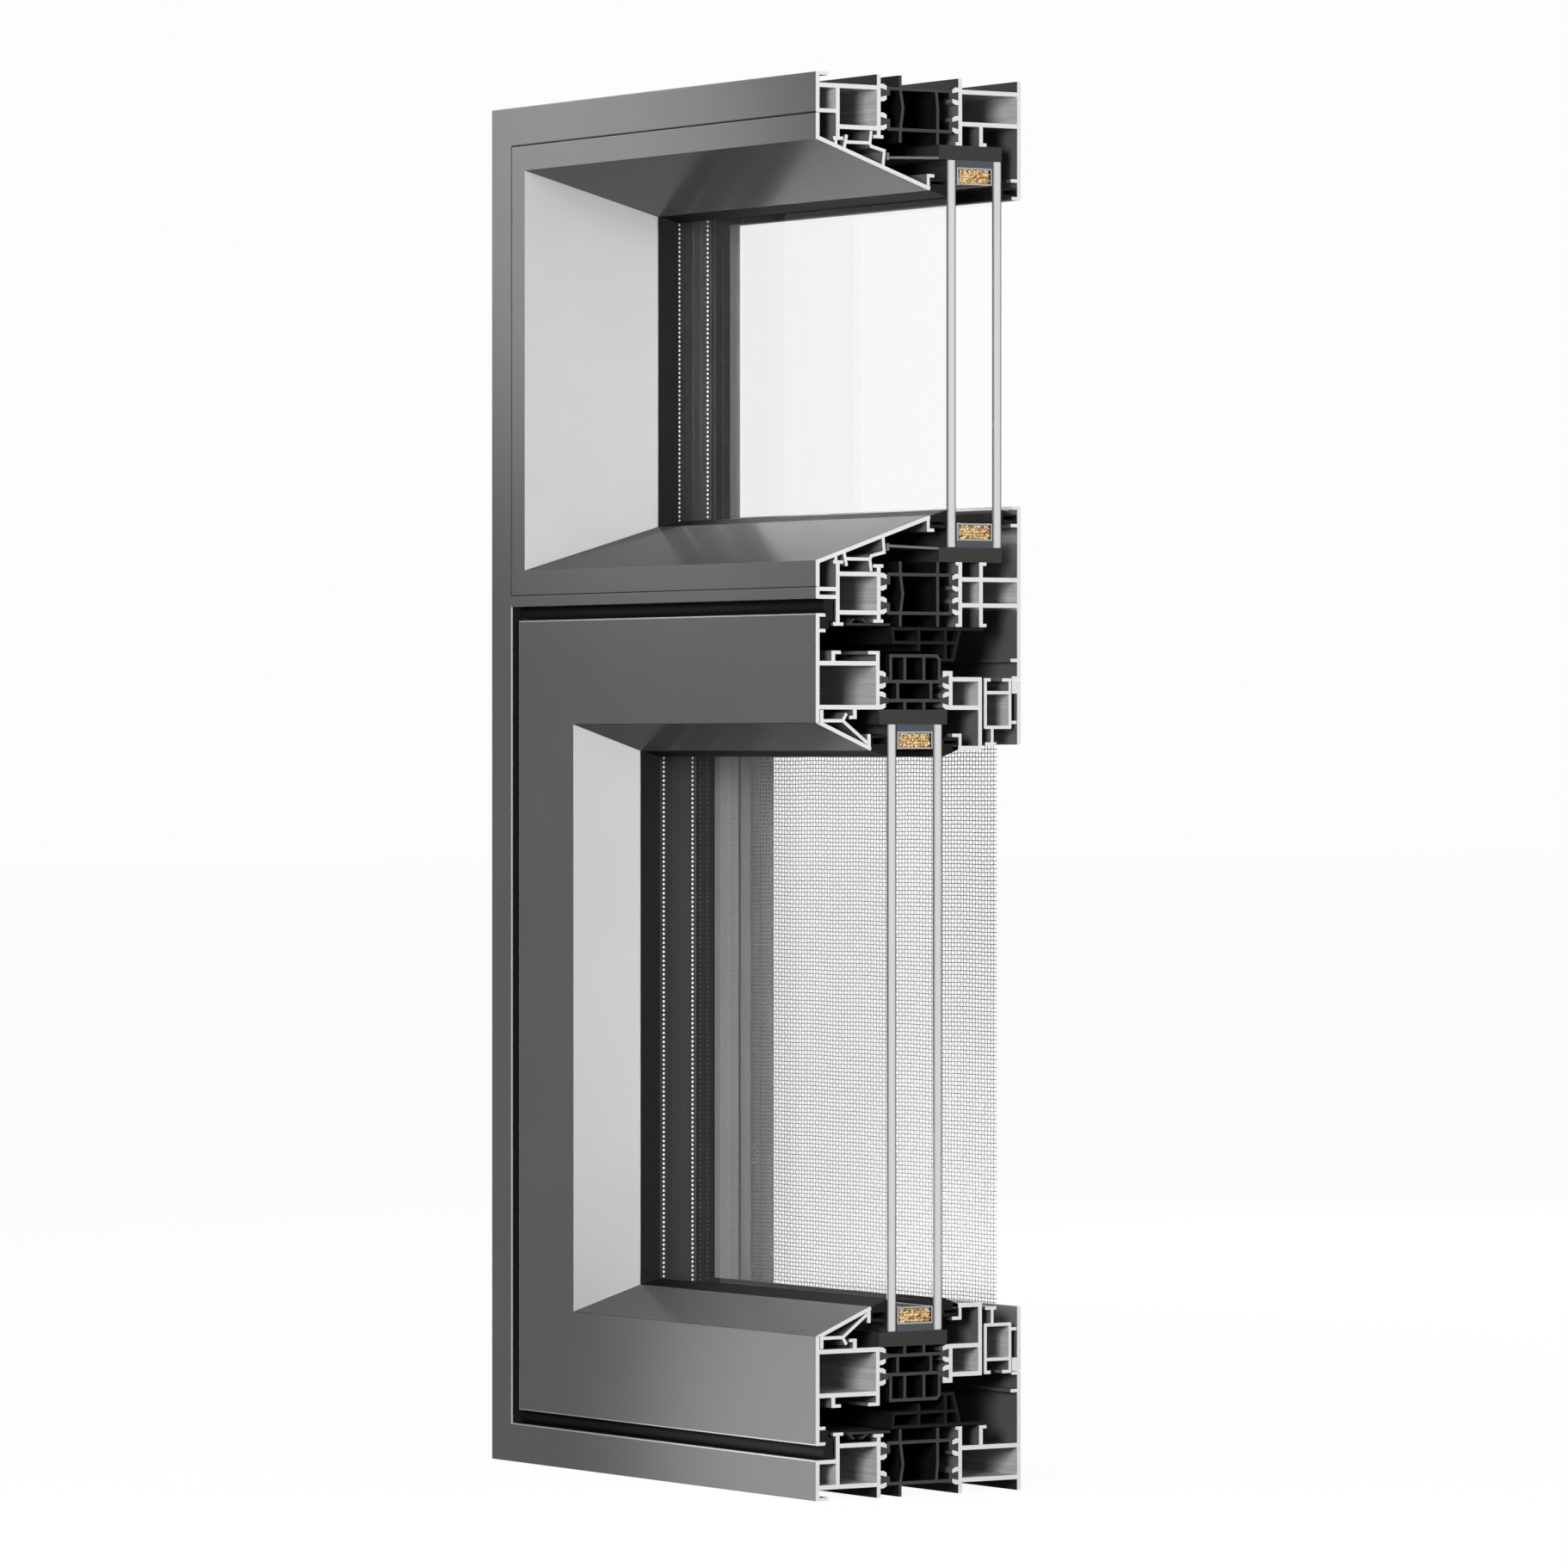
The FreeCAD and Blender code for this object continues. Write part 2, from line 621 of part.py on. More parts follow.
def build_frame():
    sections = {"inner": frame_inner(), "break": frame_break(), "outer": frame_outer()}
    for side, section in sections.items():
        names = ["frame_%s_%s" % (member, side) for member in ("head", "jamb", "sill")]
        save_lengths(names, section, frame_ring)
    save("transom_inner", transom(sections["inner"], sections["inner"]))
    save("transom_break", transom(sections["break"], sections["break"]))
    save("transom_outer", transom(frame_outer(transom_lift, frame_web_rise), frame_outer(0.0, frame_web_rise)))


def build_fixed_light():
    save_lengths(["fixed_bead_top", "fixed_bead_side", "fixed_bead_bottom"], fixed_bead(), light_ring)
    glazing_unit("fixed", light_ring, fixed_glass_depth, fixed_glass_rise)
    back = fixed_glass_depth + unit_depth
    glazing_blocks("fixed", light_ring, fixed_glass_depth - block_near, back, fixed_glass_rise)
    save("bead_flap", loop(bead_flap(), light_ring))
    tip = fixed_bead_tip_rise
    inner = gasket(fixed_bead_tip_depth, fixed_glass_depth,
                   tip - bead_nose + fine_wall, tip - bead_wall - clearance)
    save("fixed_gasket_inner", loop(inner, light_ring))
    low = facade_rise - lip_hook + fine_wall
    outer = gasket(facade, back, low + transom_lift, facade_rise - fine_wall)
    # its lower corner is notched where the jamb's lip runs through
    notch = Part.makeBox(facade_rise, lip_return + joint, facade_rise,
                         Vector(left, facade - lip_return - joint - frame_depth / 2, light_ring[1]))
    save("fixed_gasket_outer", loop(outer, light_ring).cut(notch))


def build_sash():
    for side, section in (("inner", sash_inner()), ("break", sash_break()), ("outer", sash_outer())):
        save_lengths(["sash_top_" + side, "sash_stile_" + side, "sash_bottom_" + side], section, sash_ring)
    save_lengths(["sash_bead_top", "sash_bead_side", "sash_bead_bottom"], sash_bead(), sash_ring)
    glazing_unit("sash", sash_ring, sash_glass_depth, sash_glass_rise)
    back = sash_glass_depth + unit_depth
    glazing_blocks("sash", sash_ring, sash_glass_depth - block_near, back + block_far, sash_glass_rise)
    tip = sash_bead_tip_rise
    inner = gasket(sash_bead_tip_depth, sash_glass_depth, tip - bead_nose, tip - bead_wall - clearance)
    save("sash_gasket_inner", loop(inner, sash_ring))
    low = sash_hook_rise + fine_wall
    outer = gasket(sash_hook, back, low, sash_lip_rise - main_wall)
    save("sash_gasket_outer", loop(outer, sash_ring))
    save("sash_overlap_gasket", loop(overlap_gasket(), sash_ring))


def build_screen():
    save("centre_seal", loop(centre_seal(), rebate_ring))
    save("rebate_cover", loop(rebate_cover(), rebate_ring))
    save_lengths(["screen_frame_top", "screen_frame_side", "screen_frame_bottom"], screen_frame(), rebate_ring)
    names = ["screen_surround_top", "screen_surround_side", "screen_surround_bottom"]
    save_lengths(names, screen_surround(), rebate_ring)
    save("insect_screen", insect_screen())


os.makedirs("parts", exist_ok=True)
build_frame()
build_fixed_light()
build_sash()
build_screen()
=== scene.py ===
import json
import math

import bmesh
import bpy
import numpy as np
from mathutils import Matrix, Vector


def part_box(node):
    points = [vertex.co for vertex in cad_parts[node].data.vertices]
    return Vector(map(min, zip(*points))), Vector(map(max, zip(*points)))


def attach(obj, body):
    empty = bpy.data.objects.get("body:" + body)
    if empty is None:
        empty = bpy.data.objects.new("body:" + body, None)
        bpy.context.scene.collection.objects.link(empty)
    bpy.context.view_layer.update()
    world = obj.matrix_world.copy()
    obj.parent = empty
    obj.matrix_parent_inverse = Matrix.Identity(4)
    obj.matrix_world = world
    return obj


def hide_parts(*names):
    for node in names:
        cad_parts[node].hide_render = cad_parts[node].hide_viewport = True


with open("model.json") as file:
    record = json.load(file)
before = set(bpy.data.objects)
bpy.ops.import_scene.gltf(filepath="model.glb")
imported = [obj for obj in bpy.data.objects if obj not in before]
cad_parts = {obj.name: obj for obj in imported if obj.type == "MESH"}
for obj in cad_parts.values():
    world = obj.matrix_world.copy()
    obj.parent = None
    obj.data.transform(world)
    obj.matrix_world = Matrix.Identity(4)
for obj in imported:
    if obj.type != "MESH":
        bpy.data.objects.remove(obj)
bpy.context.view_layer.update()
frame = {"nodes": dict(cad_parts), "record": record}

# Looks of a cut-away corner sample of an aluminium tilt and turn window.
# Sizes in the pieces' dictionaries are millimetres, and mm turns them into metres. The studio, the lamps
# and the camera's place are given in metres.
mm = 0.001
hair = 1e-6  # metres, for places that count as the same
nodes = frame["nodes"]
print("frame loaded:", len(nodes), "pieces")

# the cut plane, the interior face, and the rings that the lengths follow: left edge, bottom, top
sample = {"cut": 140.0, "front": -55.75}
away = 9999.0  # for an edge that a ring doesn't have
rings = {
    "frame": (-140.0, 0.0, 640.0),
    "light": (-140.0, 391.0, 640.0),
    "rebate": (-140.0, 0.0, 422.3),
    "sash": (-115.2, 24.8, 397.5),
    "transom": (-away, 391.0, away),
}
# glazing units: their ring, the first pane's near side and the panes' rise from the ring's edge
units = {
    "fixed": {"ring": "light", "near": 71.0, "rise": 36.9},
    "sash": {"ring": "sash", "near": 38.5, "rise": 49.6},
}


def place(tree, kind, *values, **settings):
    # a node with its inputs in order, each a number or another node's socket
    made = tree.nodes.new(kind)
    for name, value in settings.items():
        setattr(made, name, value)
    for socket, value in zip(made.inputs, values):
        if isinstance(value, bpy.types.NodeSocket):
            tree.links.new(value, socket)
        elif value is not None:
            socket.default_value = value
    return made


def calc(tree, operation, *values):
    return place(tree, "ShaderNodeMath", *values, operation=operation).outputs[0]


def useGroup(tree, group, **values):
    made = tree.nodes.new("ShaderNodeGroup")
    made.node_tree = group
    for name, value in values.items():
        if isinstance(value, bpy.types.NodeSocket):
            tree.links.new(value, made.inputs[name])
        else:
            made.inputs[name].default_value = value
    return made.outputs


def blendValue(tree, factor, first, second):
    return place(tree, "ShaderNodeMix", factor, None, first, second, data_type="FLOAT").outputs[0]


def blendColour(tree, factor, first, second):
    # the colours' sockets stand after those of numbers and vectors
    blank = [None] * 5
    return place(tree, "ShaderNodeMix", factor, *blank, first, second, data_type="RGBA").outputs[2]


def newGroup(name, inputs, outputs):
    # a shader group with number sockets: its tree, its inputs and its end node's inputs
    tree = bpy.data.node_groups.new(name, "ShaderNodeTree")
    for socket, value in inputs.items():
        made = tree.interface.new_socket(socket, in_out="INPUT", socket_type="NodeSocketFloat")
        made.default_value = value
    for socket in outputs:
        tree.interface.new_socket(socket, in_out="OUTPUT", socket_type="NodeSocketFloat")
    return tree, tree.nodes.new("NodeGroupInput").outputs, tree.nodes.new("NodeGroupOutput").inputs


def milliPlace(tree):
    # the object's own coordinates in millimetres
    spot = place(tree, "ShaderNodeTexCoord").outputs["Object"]
    return place(tree, "ShaderNodeVectorMath", spot, None, None, 1 / mm, operation="SCALE").outputs[0]


def axesOf(tree, spot):
    return place(tree, "ShaderNodeSeparateXYZ", spot).outputs


def noise(tree, spot, scale, detail, roughness):
    return place(tree, "ShaderNodeTexNoise", spot, None, scale, detail, roughness).outputs[0]


def buildRingPlace():
    # depth from the interior face, and rise from the ring's edge, which turns at the mitres
    names = {"Left": 0.0, "Bottom": 0.0, "Top": 0.0}
    tree, given, end = newGroup("ringPlace", names, ["Depth", "Rise", "Along"])
    axes = axesOf(tree, milliPlace(tree))
    side = calc(tree, "SUBTRACT", axes[0], given["Left"])
    below = calc(tree, "SUBTRACT", axes[2], given["Bottom"])
    above = calc(tree, "SUBTRACT", given["Top"], axes[2])
    rise = calc(tree, "MINIMUM", side, calc(tree, "MINIMUM", below, above))
    tree.links.new(calc(tree, "SUBTRACT", axes[1], sample["front"]), end["Depth"])
    tree.links.new(rise, end["Rise"])
    tree.links.new(calc(tree, "ADD", axes[0], axes[2]), end["Along"])
    return tree


def buildInside():
    # 1 on the walls of one closed chamber, given by its middle and half sizes
    names = ("Depth", "Rise", "DepthMiddle", "DepthHalf", "RiseMiddle", "RiseHalf")
    tree, given, end = newGroup("insideChamber", dict.fromkeys(names, 0.0), ["Mask"])
    wide = calc(tree, "COMPARE", given["Depth"], given["DepthMiddle"], given["DepthHalf"])
    high = calc(tree, "COMPARE", given["Rise"], given["RiseMiddle"], given["RiseHalf"])
    tree.links.new(calc(tree, "MULTIPLY", wide, high), end["Mask"])
    return tree


def buildSawnFace():
    # 1 on the faces in the cut plane, with the saw's fine marks
    names = {"Plane": sample["cut"], "Reach": 0.3, "Facing": 0.9, "Stretch": 0.12, "MarkScale": 3.2}
    tree, given, end = newGroup("sawnFace", names, ["Mask", "Marks"])
    axes = axesOf(tree, milliPlace(tree))
    across = axesOf(tree, place(tree, "ShaderNodeNewGeometry").outputs["True Normal"])[0]
    near = calc(tree, "GREATER_THAN", axes[0], calc(tree, "SUBTRACT", given["Plane"], given["Reach"]))
    facing = calc(tree, "GREATER_THAN", across, given["Facing"])
    tree.links.new(calc(tree, "MULTIPLY", near, facing), end["Mask"])
    depth = calc(tree, "MULTIPLY", axes[1], given["Stretch"])
    stretched = place(tree, "ShaderNodeCombineXYZ", 0.0, depth, axes[2]).outputs[0]
    tree.links.new(noise(tree, stretched, given["MarkScale"], 3.0, 0.6), end["Marks"])
    return tree


def buildPowder():
    # stoved powder: an orange peel, a finer grain and a slow change of tone
    names = {"Peel": 0.9, "Grain": 4.0, "Slow": 0.018, "GrainShare": 0.35}
    tree, given, end = newGroup("powderGrain", names, ["Tone", "Fleck", "Height"])
    spot = milliPlace(tree)
    peel = noise(tree, spot, given["Peel"], 1.0, 0.5)
    grain = noise(tree, spot, given["Grain"], 2.0, 0.6)
    tree.links.new(noise(tree, spot, given["Slow"], 2.0, 0.5), end["Tone"])
    tree.links.new(grain, end["Fleck"])
    tree.links.new(calc(tree, "MULTIPLY_ADD", grain, given["GrainShare"], peel), end["Height"])
    return tree


def buildDieLines():
    # lines that the extrusion die leaves along a length
    names = {"Depth": 0.0, "Rise": 0.0, "Along": 0.0, "Drift": 0.006,
             "Broad": 0.5, "BroadShare": 0.4, "Fine": 2.6, "FineShare": 0.6}
    tree, given, end = newGroup("dieLines", names, ["Lines"])
    drift = calc(tree, "MULTIPLY", given["Along"], given["Drift"])
    section = place(tree, "ShaderNodeCombineXYZ", given["Depth"], given["Rise"], drift).outputs[0]
    broad = calc(tree, "MULTIPLY", noise(tree, section, given["Broad"], 2.0, 0.5), given["BroadShare"])
    fine = noise(tree, section, given["Fine"], 3.0, 0.7)
    tree.links.new(calc(tree, "MULTIPLY_ADD", fine, given["FineShare"], broad), end["Lines"])
    return tree


ringPlace = buildRingPlace()
insideChamber = buildInside()
sawnFace = buildSawnFace()
powderGrain = buildPowder()
dieLines = buildDieLines()
print("shader groups built")


def grey(value, warm=0.98):
    return (value, value, value * warm, 1)


def newMaterial(name):
    material = bpy.data.materials.new(name)
    material.use_nodes = True
    return material, material.node_tree, material.node_tree.nodes["Principled BSDF"].inputs


coat = {"light": grey(0.31), "dark": grey(0.28), "metallic": 0.6, "roughness": 0.17, "roughSpread": 0.03,
        "tint": grey(0.4, 1.0), "bump": 0.008, "bumpReach": 0.02}
mill = {"light": grey(0.66), "dark": grey(0.34), "metallic": 0.25, "roughness": 0.42, "streak": (0.3, 0.7)}
# outer corners of the sections, a painted highlight where pale and painted shade where dark at a joint: ring,
# depth, rise, how far it reaches and tone
edgeHighlightAndShade = {
    "frame": [("rebate", 0.0, 18.3, 0.65, 0.42), ("light", 0.0, 18.3, 0.65, 0.05)],
    "bead": [("light", 0.0, 18.3, 0.35, 0.05)],
    "sash": [("sash", 0.0, 0.0, 0.65, 0.45)],
    "transom": [],
    "screen": [],
}
arris = {"roughness": 0.5, "metallic": 0.2}
sawn = {"light": grey(0.95), "dark": grey(0.88), "metallic": 0.0, "roughness": 0.5}
# dull inside and darkened by painted shade: channels and rebates, as depth from and to, rise from and to, and
# tone
channelShade = {
    "frame": [((1.9, 109.6, 0.1, 5.1), 0.012), ((0.66, 10.7, 18.1, 18.5), 0.012),
              ((79.1, 109.6, 21.4, 54.0), 0.08)],
    "transom": [((79.1, 109.6, 23.9, 54.0), 0.08), ((79.1, 109.6, -30.0, 7.1), 0.08)],
    "sash": [((34.5, 90.2, 43.2, 60.0), 0.10)],
    "screen": [],
    "bead": [],
}
channelRoughness = 0.6
# closed chambers of the extrusions: depth near and far, rise low and high
chambers = {
    "frame": [(12.8, 32.9, 7.0, 23.3), (2.0, 10.8, 7.0, 16.5), (79.2, 109.5, 7.0, 19.5)],
    "transom": [(12.8, 32.9, 8.0, 23.3), (79.2, 109.5, 9.0, 22.0)],
    "sash": [(2.0, 32.4, 23.3, 41.0), (74.0, 88.1, 30.2, 41.0)],
    "screen": [(92.8, 104.8, 60.7, 74.9)],
    "bead": [],
}
chamberEdge = 0.1


def chamberMask(tree, where, room, edge=0.0):
    near, far, low, high = room
    return useGroup(tree, insideChamber, Depth=where["Depth"], Rise=where["Rise"],
                    DepthMiddle=(near + far) / 2, DepthHalf=(far - near) / 2 + edge,
                    RiseMiddle=(low + high) / 2, RiseHalf=(high - low) / 2 + edge)["Mask"]


def ringSpot(tree, ring):
    left, bottom, top = rings[ring]
    return useGroup(tree, ringPlace, Left=left, Bottom=bottom, Top=top)


def coatedAluminium(name, ring):
    # powder coat outside, with painted highlights and painted shade on some corners and painted shade in
    # channels and rebates, mill finish in the closed chambers, bare metal where it is sawn
    material, tree, shader = newMaterial("coated_" + name)
    shader["Specular Tint"].default_value = coat["tint"]
    where = ringSpot(tree, ring)
    powder = useGroup(tree, powderGrain)
    saw = useGroup(tree, sawnFace)
    colour = blendColour(tree, powder["Tone"], coat["dark"], coat["light"])
    roughness = calc(tree, "MULTIPLY_ADD", powder["Fleck"], coat["roughSpread"], coat["roughness"])
    metallic = coat["metallic"]
    # painted highlights and painted shade along the outer corners
    for circuit, depth, rise, reach, tone in edgeHighlightAndShade[name]:
        corner = (depth - reach, depth + reach, rise - reach, rise + reach)
        edge = chamberMask(tree, ringSpot(tree, circuit), corner)
        colour = blendColour(tree, edge, colour, grey(tone))
        roughness = blendValue(tree, edge, roughness, arris["roughness"])
        metallic = blendValue(tree, edge, metallic, arris["metallic"])
    # painted shade in the channels and rebates, which are also made rough and not metallic
    for room, tone in channelShade[name]:
        dullAndShaded = chamberMask(tree, where, room)
        colour = blendColour(tree, dullAndShaded, colour, grey(tone))
        roughness = blendValue(tree, dullAndShaded, roughness, channelRoughness)
        metallic = blendValue(tree, dullAndShaded, metallic, 0.0)
    if chambers[name]:
        hollow = 0.0
        for room in chambers[name]:
            hollow = calc(tree, "MAXIMUM", hollow, chamberMask(tree, where, room, chamberEdge))
        die = useGroup(tree, dieLines, Depth=where["Depth"], Rise=where["Rise"], Along=where["Along"])
        streak = place(tree, "ShaderNodeMapRange", die["Lines"], *mill["streak"], 0.0, 1.0).outputs[0]
        bare = blendColour(tree, streak, mill["dark"], mill["light"])
        colour = blendColour(tree, hollow, colour, bare)
        roughness = blendValue(tree, hollow, roughness, mill["roughness"])
        metallic = blendValue(tree, hollow, metallic, mill["metallic"])
    bright = blendColour(tree, saw["Marks"], sawn["dark"], sawn["light"])
    tree.links.new(blendColour(tree, saw["Mask"], colour, bright), shader["Base Color"])
    tree.links.new(blendValue(tree, saw["Mask"], roughness, sawn["roughness"]), shader["Roughness"])
    tree.links.new(blendValue(tree, saw["Mask"], metallic, sawn["metallic"]), shader["Metallic"])
    bump = place(tree, "ShaderNodeBump", coat["bump"], coat["bumpReach"] * mm)
    tree.links.new(blendValue(tree, saw["Mask"], powder["Height"], saw["Marks"]), bump.inputs["Height"])
    tree.links.new(bump.outputs[0], shader["Normal"])
    return material


def sawnPlastic(name, look):
    # an extruded plastic, rubber or strip whose sawn end has a tone of its own
    material, tree, shader = newMaterial(name)
    shader["Specular IOR Level"].default_value = look["gloss"]
    powder = useGroup(tree, powderGrain, Peel=look["peel"], Grain=look["grain"])
    saw = useGroup(tree, sawnFace)
    skin = blendColour(tree, powder["Fleck"], look["dark"], look["light"])
    end = blendColour(tree, saw["Marks"], look["endDark"], look["endLight"])
    rough = calc(tree, "MULTIPLY_ADD", powder["Fleck"], look["roughSpread"], look["roughness"])
    tree.links.new(blendColour(tree, saw["Mask"], skin, end), shader["Base Color"])
    tree.links.new(rough, shader["Roughness"])
    bump = place(tree, "ShaderNodeBump", look["bump"], look["bumpReach"] * mm)
    tree.links.new(powder["Height"], bump.inputs["Height"])
    tree.links.new(bump.outputs[0], shader["Normal"])
    return material


plastics = {
    "insulating_bar": {"dark": grey(0.004), "light": grey(0.007), "endDark": grey(0.060),
                       "endLight": grey(0.085), "gloss": 0.12, "roughness": 0.42, "roughSpread": 0.15,
                       "peel": 1.2, "grain": 6.0, "bump": 0.1, "bumpReach": 0.02},
    "black_rubber": {"dark": grey(0.005), "light": grey(0.009), "endDark": grey(0.014),
                     "endLight": grey(0.022), "gloss": 0.12, "roughness": 0.5, "roughSpread": 0.2,
                     "peel": 2.0, "grain": 9.0, "bump": 0.15, "bumpReach": 0.02},
    "setting_block": {"dark": grey(0.018), "light": grey(0.024), "endDark": grey(0.040),
                      "endLight": grey(0.056), "gloss": 0.4, "roughness": 0.55, "roughSpread": 0.15,
                      "peel": 1.5, "grain": 5.0, "bump": 0.15, "bumpReach": 0.03},
    "flap_plastic": {"dark": grey(0.10), "light": grey(0.13), "endDark": grey(0.19), "endLight": grey(0.23),
                     "gloss": 0.5, "roughness": 0.5, "roughSpread": 0.1, "peel": 1.5, "grain": 5.0,
                     "bump": 0.1, "bumpReach": 0.02},
    "edge_sealant": {"dark": grey(0.020), "light": grey(0.030), "endDark": (0.060, 0.072, 0.088, 1),
                     "endLight": (0.120, 0.138, 0.162, 1), "gloss": 0.5, "roughness": 0.45,
                     "roughSpread": 0.2, "peel": 0.8, "grain": 3.0, "bump": 0.25, "bumpReach": 0.05},
    "spacer_metal": {"dark": grey(0.010), "light": grey(0.014), "endDark": grey(0.50), "endLight": grey(0.65),
                     "gloss": 0.2, "roughness": 0.55, "roughSpread": 0.1, "peel": 1.0, "grain": 5.0,
                     "bump": 0.08, "bumpReach": 0.02},
}
finish = {slot: sawnPlastic(slot, look) for slot, look in plastics.items()}
coatRings = {"frame": "frame", "transom": "transom", "sash": "sash", "screen": "rebate", "bead": "light"}
coats = {name: coatedAluminium(name, ring) for name, ring in coatRings.items()}


def coatOf(name):
    # beads and the screen's surround have no closed chamber
    if "bead" in name or "surround" in name:
        return coats["bead"]
    return coats[name.split("_")[0]]


for part in frame["record"]["subparts"]:
    slot, name = part["material_slot"], part["node"]
    chosen = coatOf(name) if slot == "coated_aluminium" else finish.get(slot)
    if chosen:
        nodes[name].data.materials.clear()
        nodes[name].data.materials.append(chosen)
print("profiles, bars, seals and blocks finished")


def keep(piece, slot, *replaced):
    # every piece rides on the one body
    bpy.context.view_layer.update()
    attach(piece, "root")
    if replaced:
        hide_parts(*replaced)


def newPiece(name, mesh):
    piece = bpy.data.objects.new(name, mesh)
    bpy.context.scene.collection.objects.link(piece)
    return piece


# the sawn edge's pale and dark tones are a painted highlight and painted shade
glass = {"colour": (0.996, 0.998, 0.997, 1), "ior": 1.5, "mirror": grey(0.15, 1.0),
         "thick": 5.0, "space": 20.0, "arris": 0.5, "segments": 2,
         "edgeHighlight": grey(0.82, 1.0), "edgeShade": grey(0.03, 1.0), "edgeStart": 0.45,
         "edgeGrain": 3.0, "edgeRough": 0.3, "edgeSpread": 0.2}


def clearGlass():
    material, tree, shader = newMaterial("clear_glass")
    shader["Base Color"].default_value = glass["colour"]
    shader["Roughness"].default_value = 0.0
    shader["IOR"].default_value = glass["ior"]
    shader["Transmission Weight"].default_value = 1.0
    shader["Specular Tint"].default_value = glass["mirror"]
    # lamps reach what is behind the panes
    clear = place(tree, "ShaderNodeBsdfTransparent", glass["colour"]).outputs[0]
    path = place(tree, "ShaderNodeLightPath").outputs["Is Shadow Ray"]
    mix = place(tree, "ShaderNodeMixShader", path, tree.nodes["Principled BSDF"].outputs[0], clear)
    tree.links.new(mix.outputs[0], tree.nodes["Material Output"].inputs["Surface"])
    return material


def shadedGlassEdge(name, middle):
    # a ground edge with a painted highlight along its middle and painted shade at both arrises
    material, tree, shader = newMaterial(name)
    spot = milliPlace(tree)
    depth = calc(tree, "SUBTRACT", axesOf(tree, spot)[1], sample["front"] + middle)
    part = calc(tree, "DIVIDE", calc(tree, "ABSOLUTE", depth), glass["thick"] / 2)
    ramp = place(tree, "ShaderNodeMapRange", part, glass["edgeStart"], 1.0, 0.0, 1.0,
                 interpolation_type="SMOOTHSTEP").outputs[0]
    tree.links.new(blendColour(tree, ramp, glass["edgeHighlight"], glass["edgeShade"]), shader["Base Color"])
    grain = noise(tree, spot, glass["edgeGrain"], 2.0, 0.5)
    rough = calc(tree, "MULTIPLY_ADD", grain, glass["edgeSpread"], glass["edgeRough"])
    tree.links.new(rough, shader["Roughness"])
    return material


def makePane(name, near, clear):
    # a pane with ground arrises, whose sawn side shows a painted highlight and painted shade
    low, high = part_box(name)
    middle = near + glass["thick"] / 2
    build = bmesh.new()
    bmesh.ops.create_cube(build, size=1.0)
    size, centre = high - low, (high + low) / 2
    for vertex in build.verts:
        vertex.co = Vector(spot * reach for spot, reach in zip(vertex.co, size)) + centre
    bmesh.ops.bevel(build, geom=build.edges[:], offset=glass["arris"] * mm, segments=glass["segments"],
                    profile=0.5, affect="EDGES")
    cut = (sample["cut"] - glass["arris"]) * mm
    for face in build.faces:
        face.material_index = 1 if face.calc_center_median().x > cut - hair else 0
    mesh = bpy.data.meshes.new(name + "_glass")
    build.to_mesh(mesh)
    build.free()
    mesh.materials.append(clear)
    mesh.materials.append(shadedGlassEdge(name + "_edge", middle))
    keep(newPiece(name + "_glass", mesh), "clear_glass", name)


clear = clearGlass()
for unit, look in units.items():
    makePane(unit + "_pane_inner", look["near"], clear)
    makePane(unit + "_pane_outer", look["near"] + glass["thick"] + glass["space"], clear)
print("panes made")

# the seal on the sash: a foot in the groove, a neck over the groove's lip, and a bulb that closes the gap
seal = {"footNear": 2.15, "footFar": 6.85, "footLow": 1.65, "footHigh": 6.85,
        "neckNear": 5.35, "neckHigh": 3.5, "far": 9.15,
        "bulbNear": 4.0, "bulbLow": -6.2, "bulbHigh": -0.3, "bulbRound": 2.5, "steps": 8}


def sealOutline():
    # depth and rise of the section's corners, in order, with both bends of the bulb as arcs
    middle, bend = seal["bulbNear"] + seal["bulbRound"], seal["bulbRound"]
    start = math.acos((seal["neckNear"] - middle) / bend)
    arcs = []
    for first, last, rise in ((start, math.pi, seal["bulbHigh"] - bend),
                              (math.pi, math.pi * 1.5, seal["bulbLow"] + bend)):
        for step in range(seal["steps"] + 1):
            turn = first + (last - first) * step / seal["steps"]
            arcs.append((middle + bend * math.cos(turn), rise + bend * math.sin(turn)))
    ends = [(seal["far"], seal["bulbLow"]), (seal["far"], seal["neckHigh"]),
            (seal["footFar"], seal["neckHigh"]), (seal["footFar"], seal["footHigh"]),
            (seal["footNear"], seal["footHigh"])]
    return [(seal["footNear"], seal["footLow"]), (seal["neckNear"], seal["footLow"])] + arcs + ends


# the lips of the gaskets, which stand past the metal that holds them and climb the panes: depth of the glass
# and of the grip, rise of the gasket below, of the lip at its grip and of its edge on the glass
lips = {
    "fixed_gasket_lip": {"ring": "light", "glass": 71.0, "grip": 61.8,
                         "base": 49.25, "top": 51.0, "edge": 53.9},
    "sash_gasket_lip": {"ring": "sash", "glass": 38.5, "grip": 29.8,
                        "base": 59.55, "top": 61.3, "edge": 64.2},
    "sash_outer_lip": {"ring": "sash", "glass": 68.5, "grip": 77.1,
                       "base": 59.35, "top": 61.0, "edge": 64.2},
}
lipShape = {"slope": 5.5, "step": 1.75, "thin": 1.0, "lean": 0.3, "touch": 0.03}


def lipOutline(look):
    way = math.copysign(1, look["glass"] - look["grip"])
    near, base, edge = look["glass"] - way * lipShape["touch"], look["base"], look["edge"]
    return [(look["grip"], base), (near - way * lipShape["slope"], base), (near, base + lipShape["step"]),
            (near, edge), (near - way * lipShape["thin"], edge - lipShape["lean"]),
            (look["grip"], look["top"])]


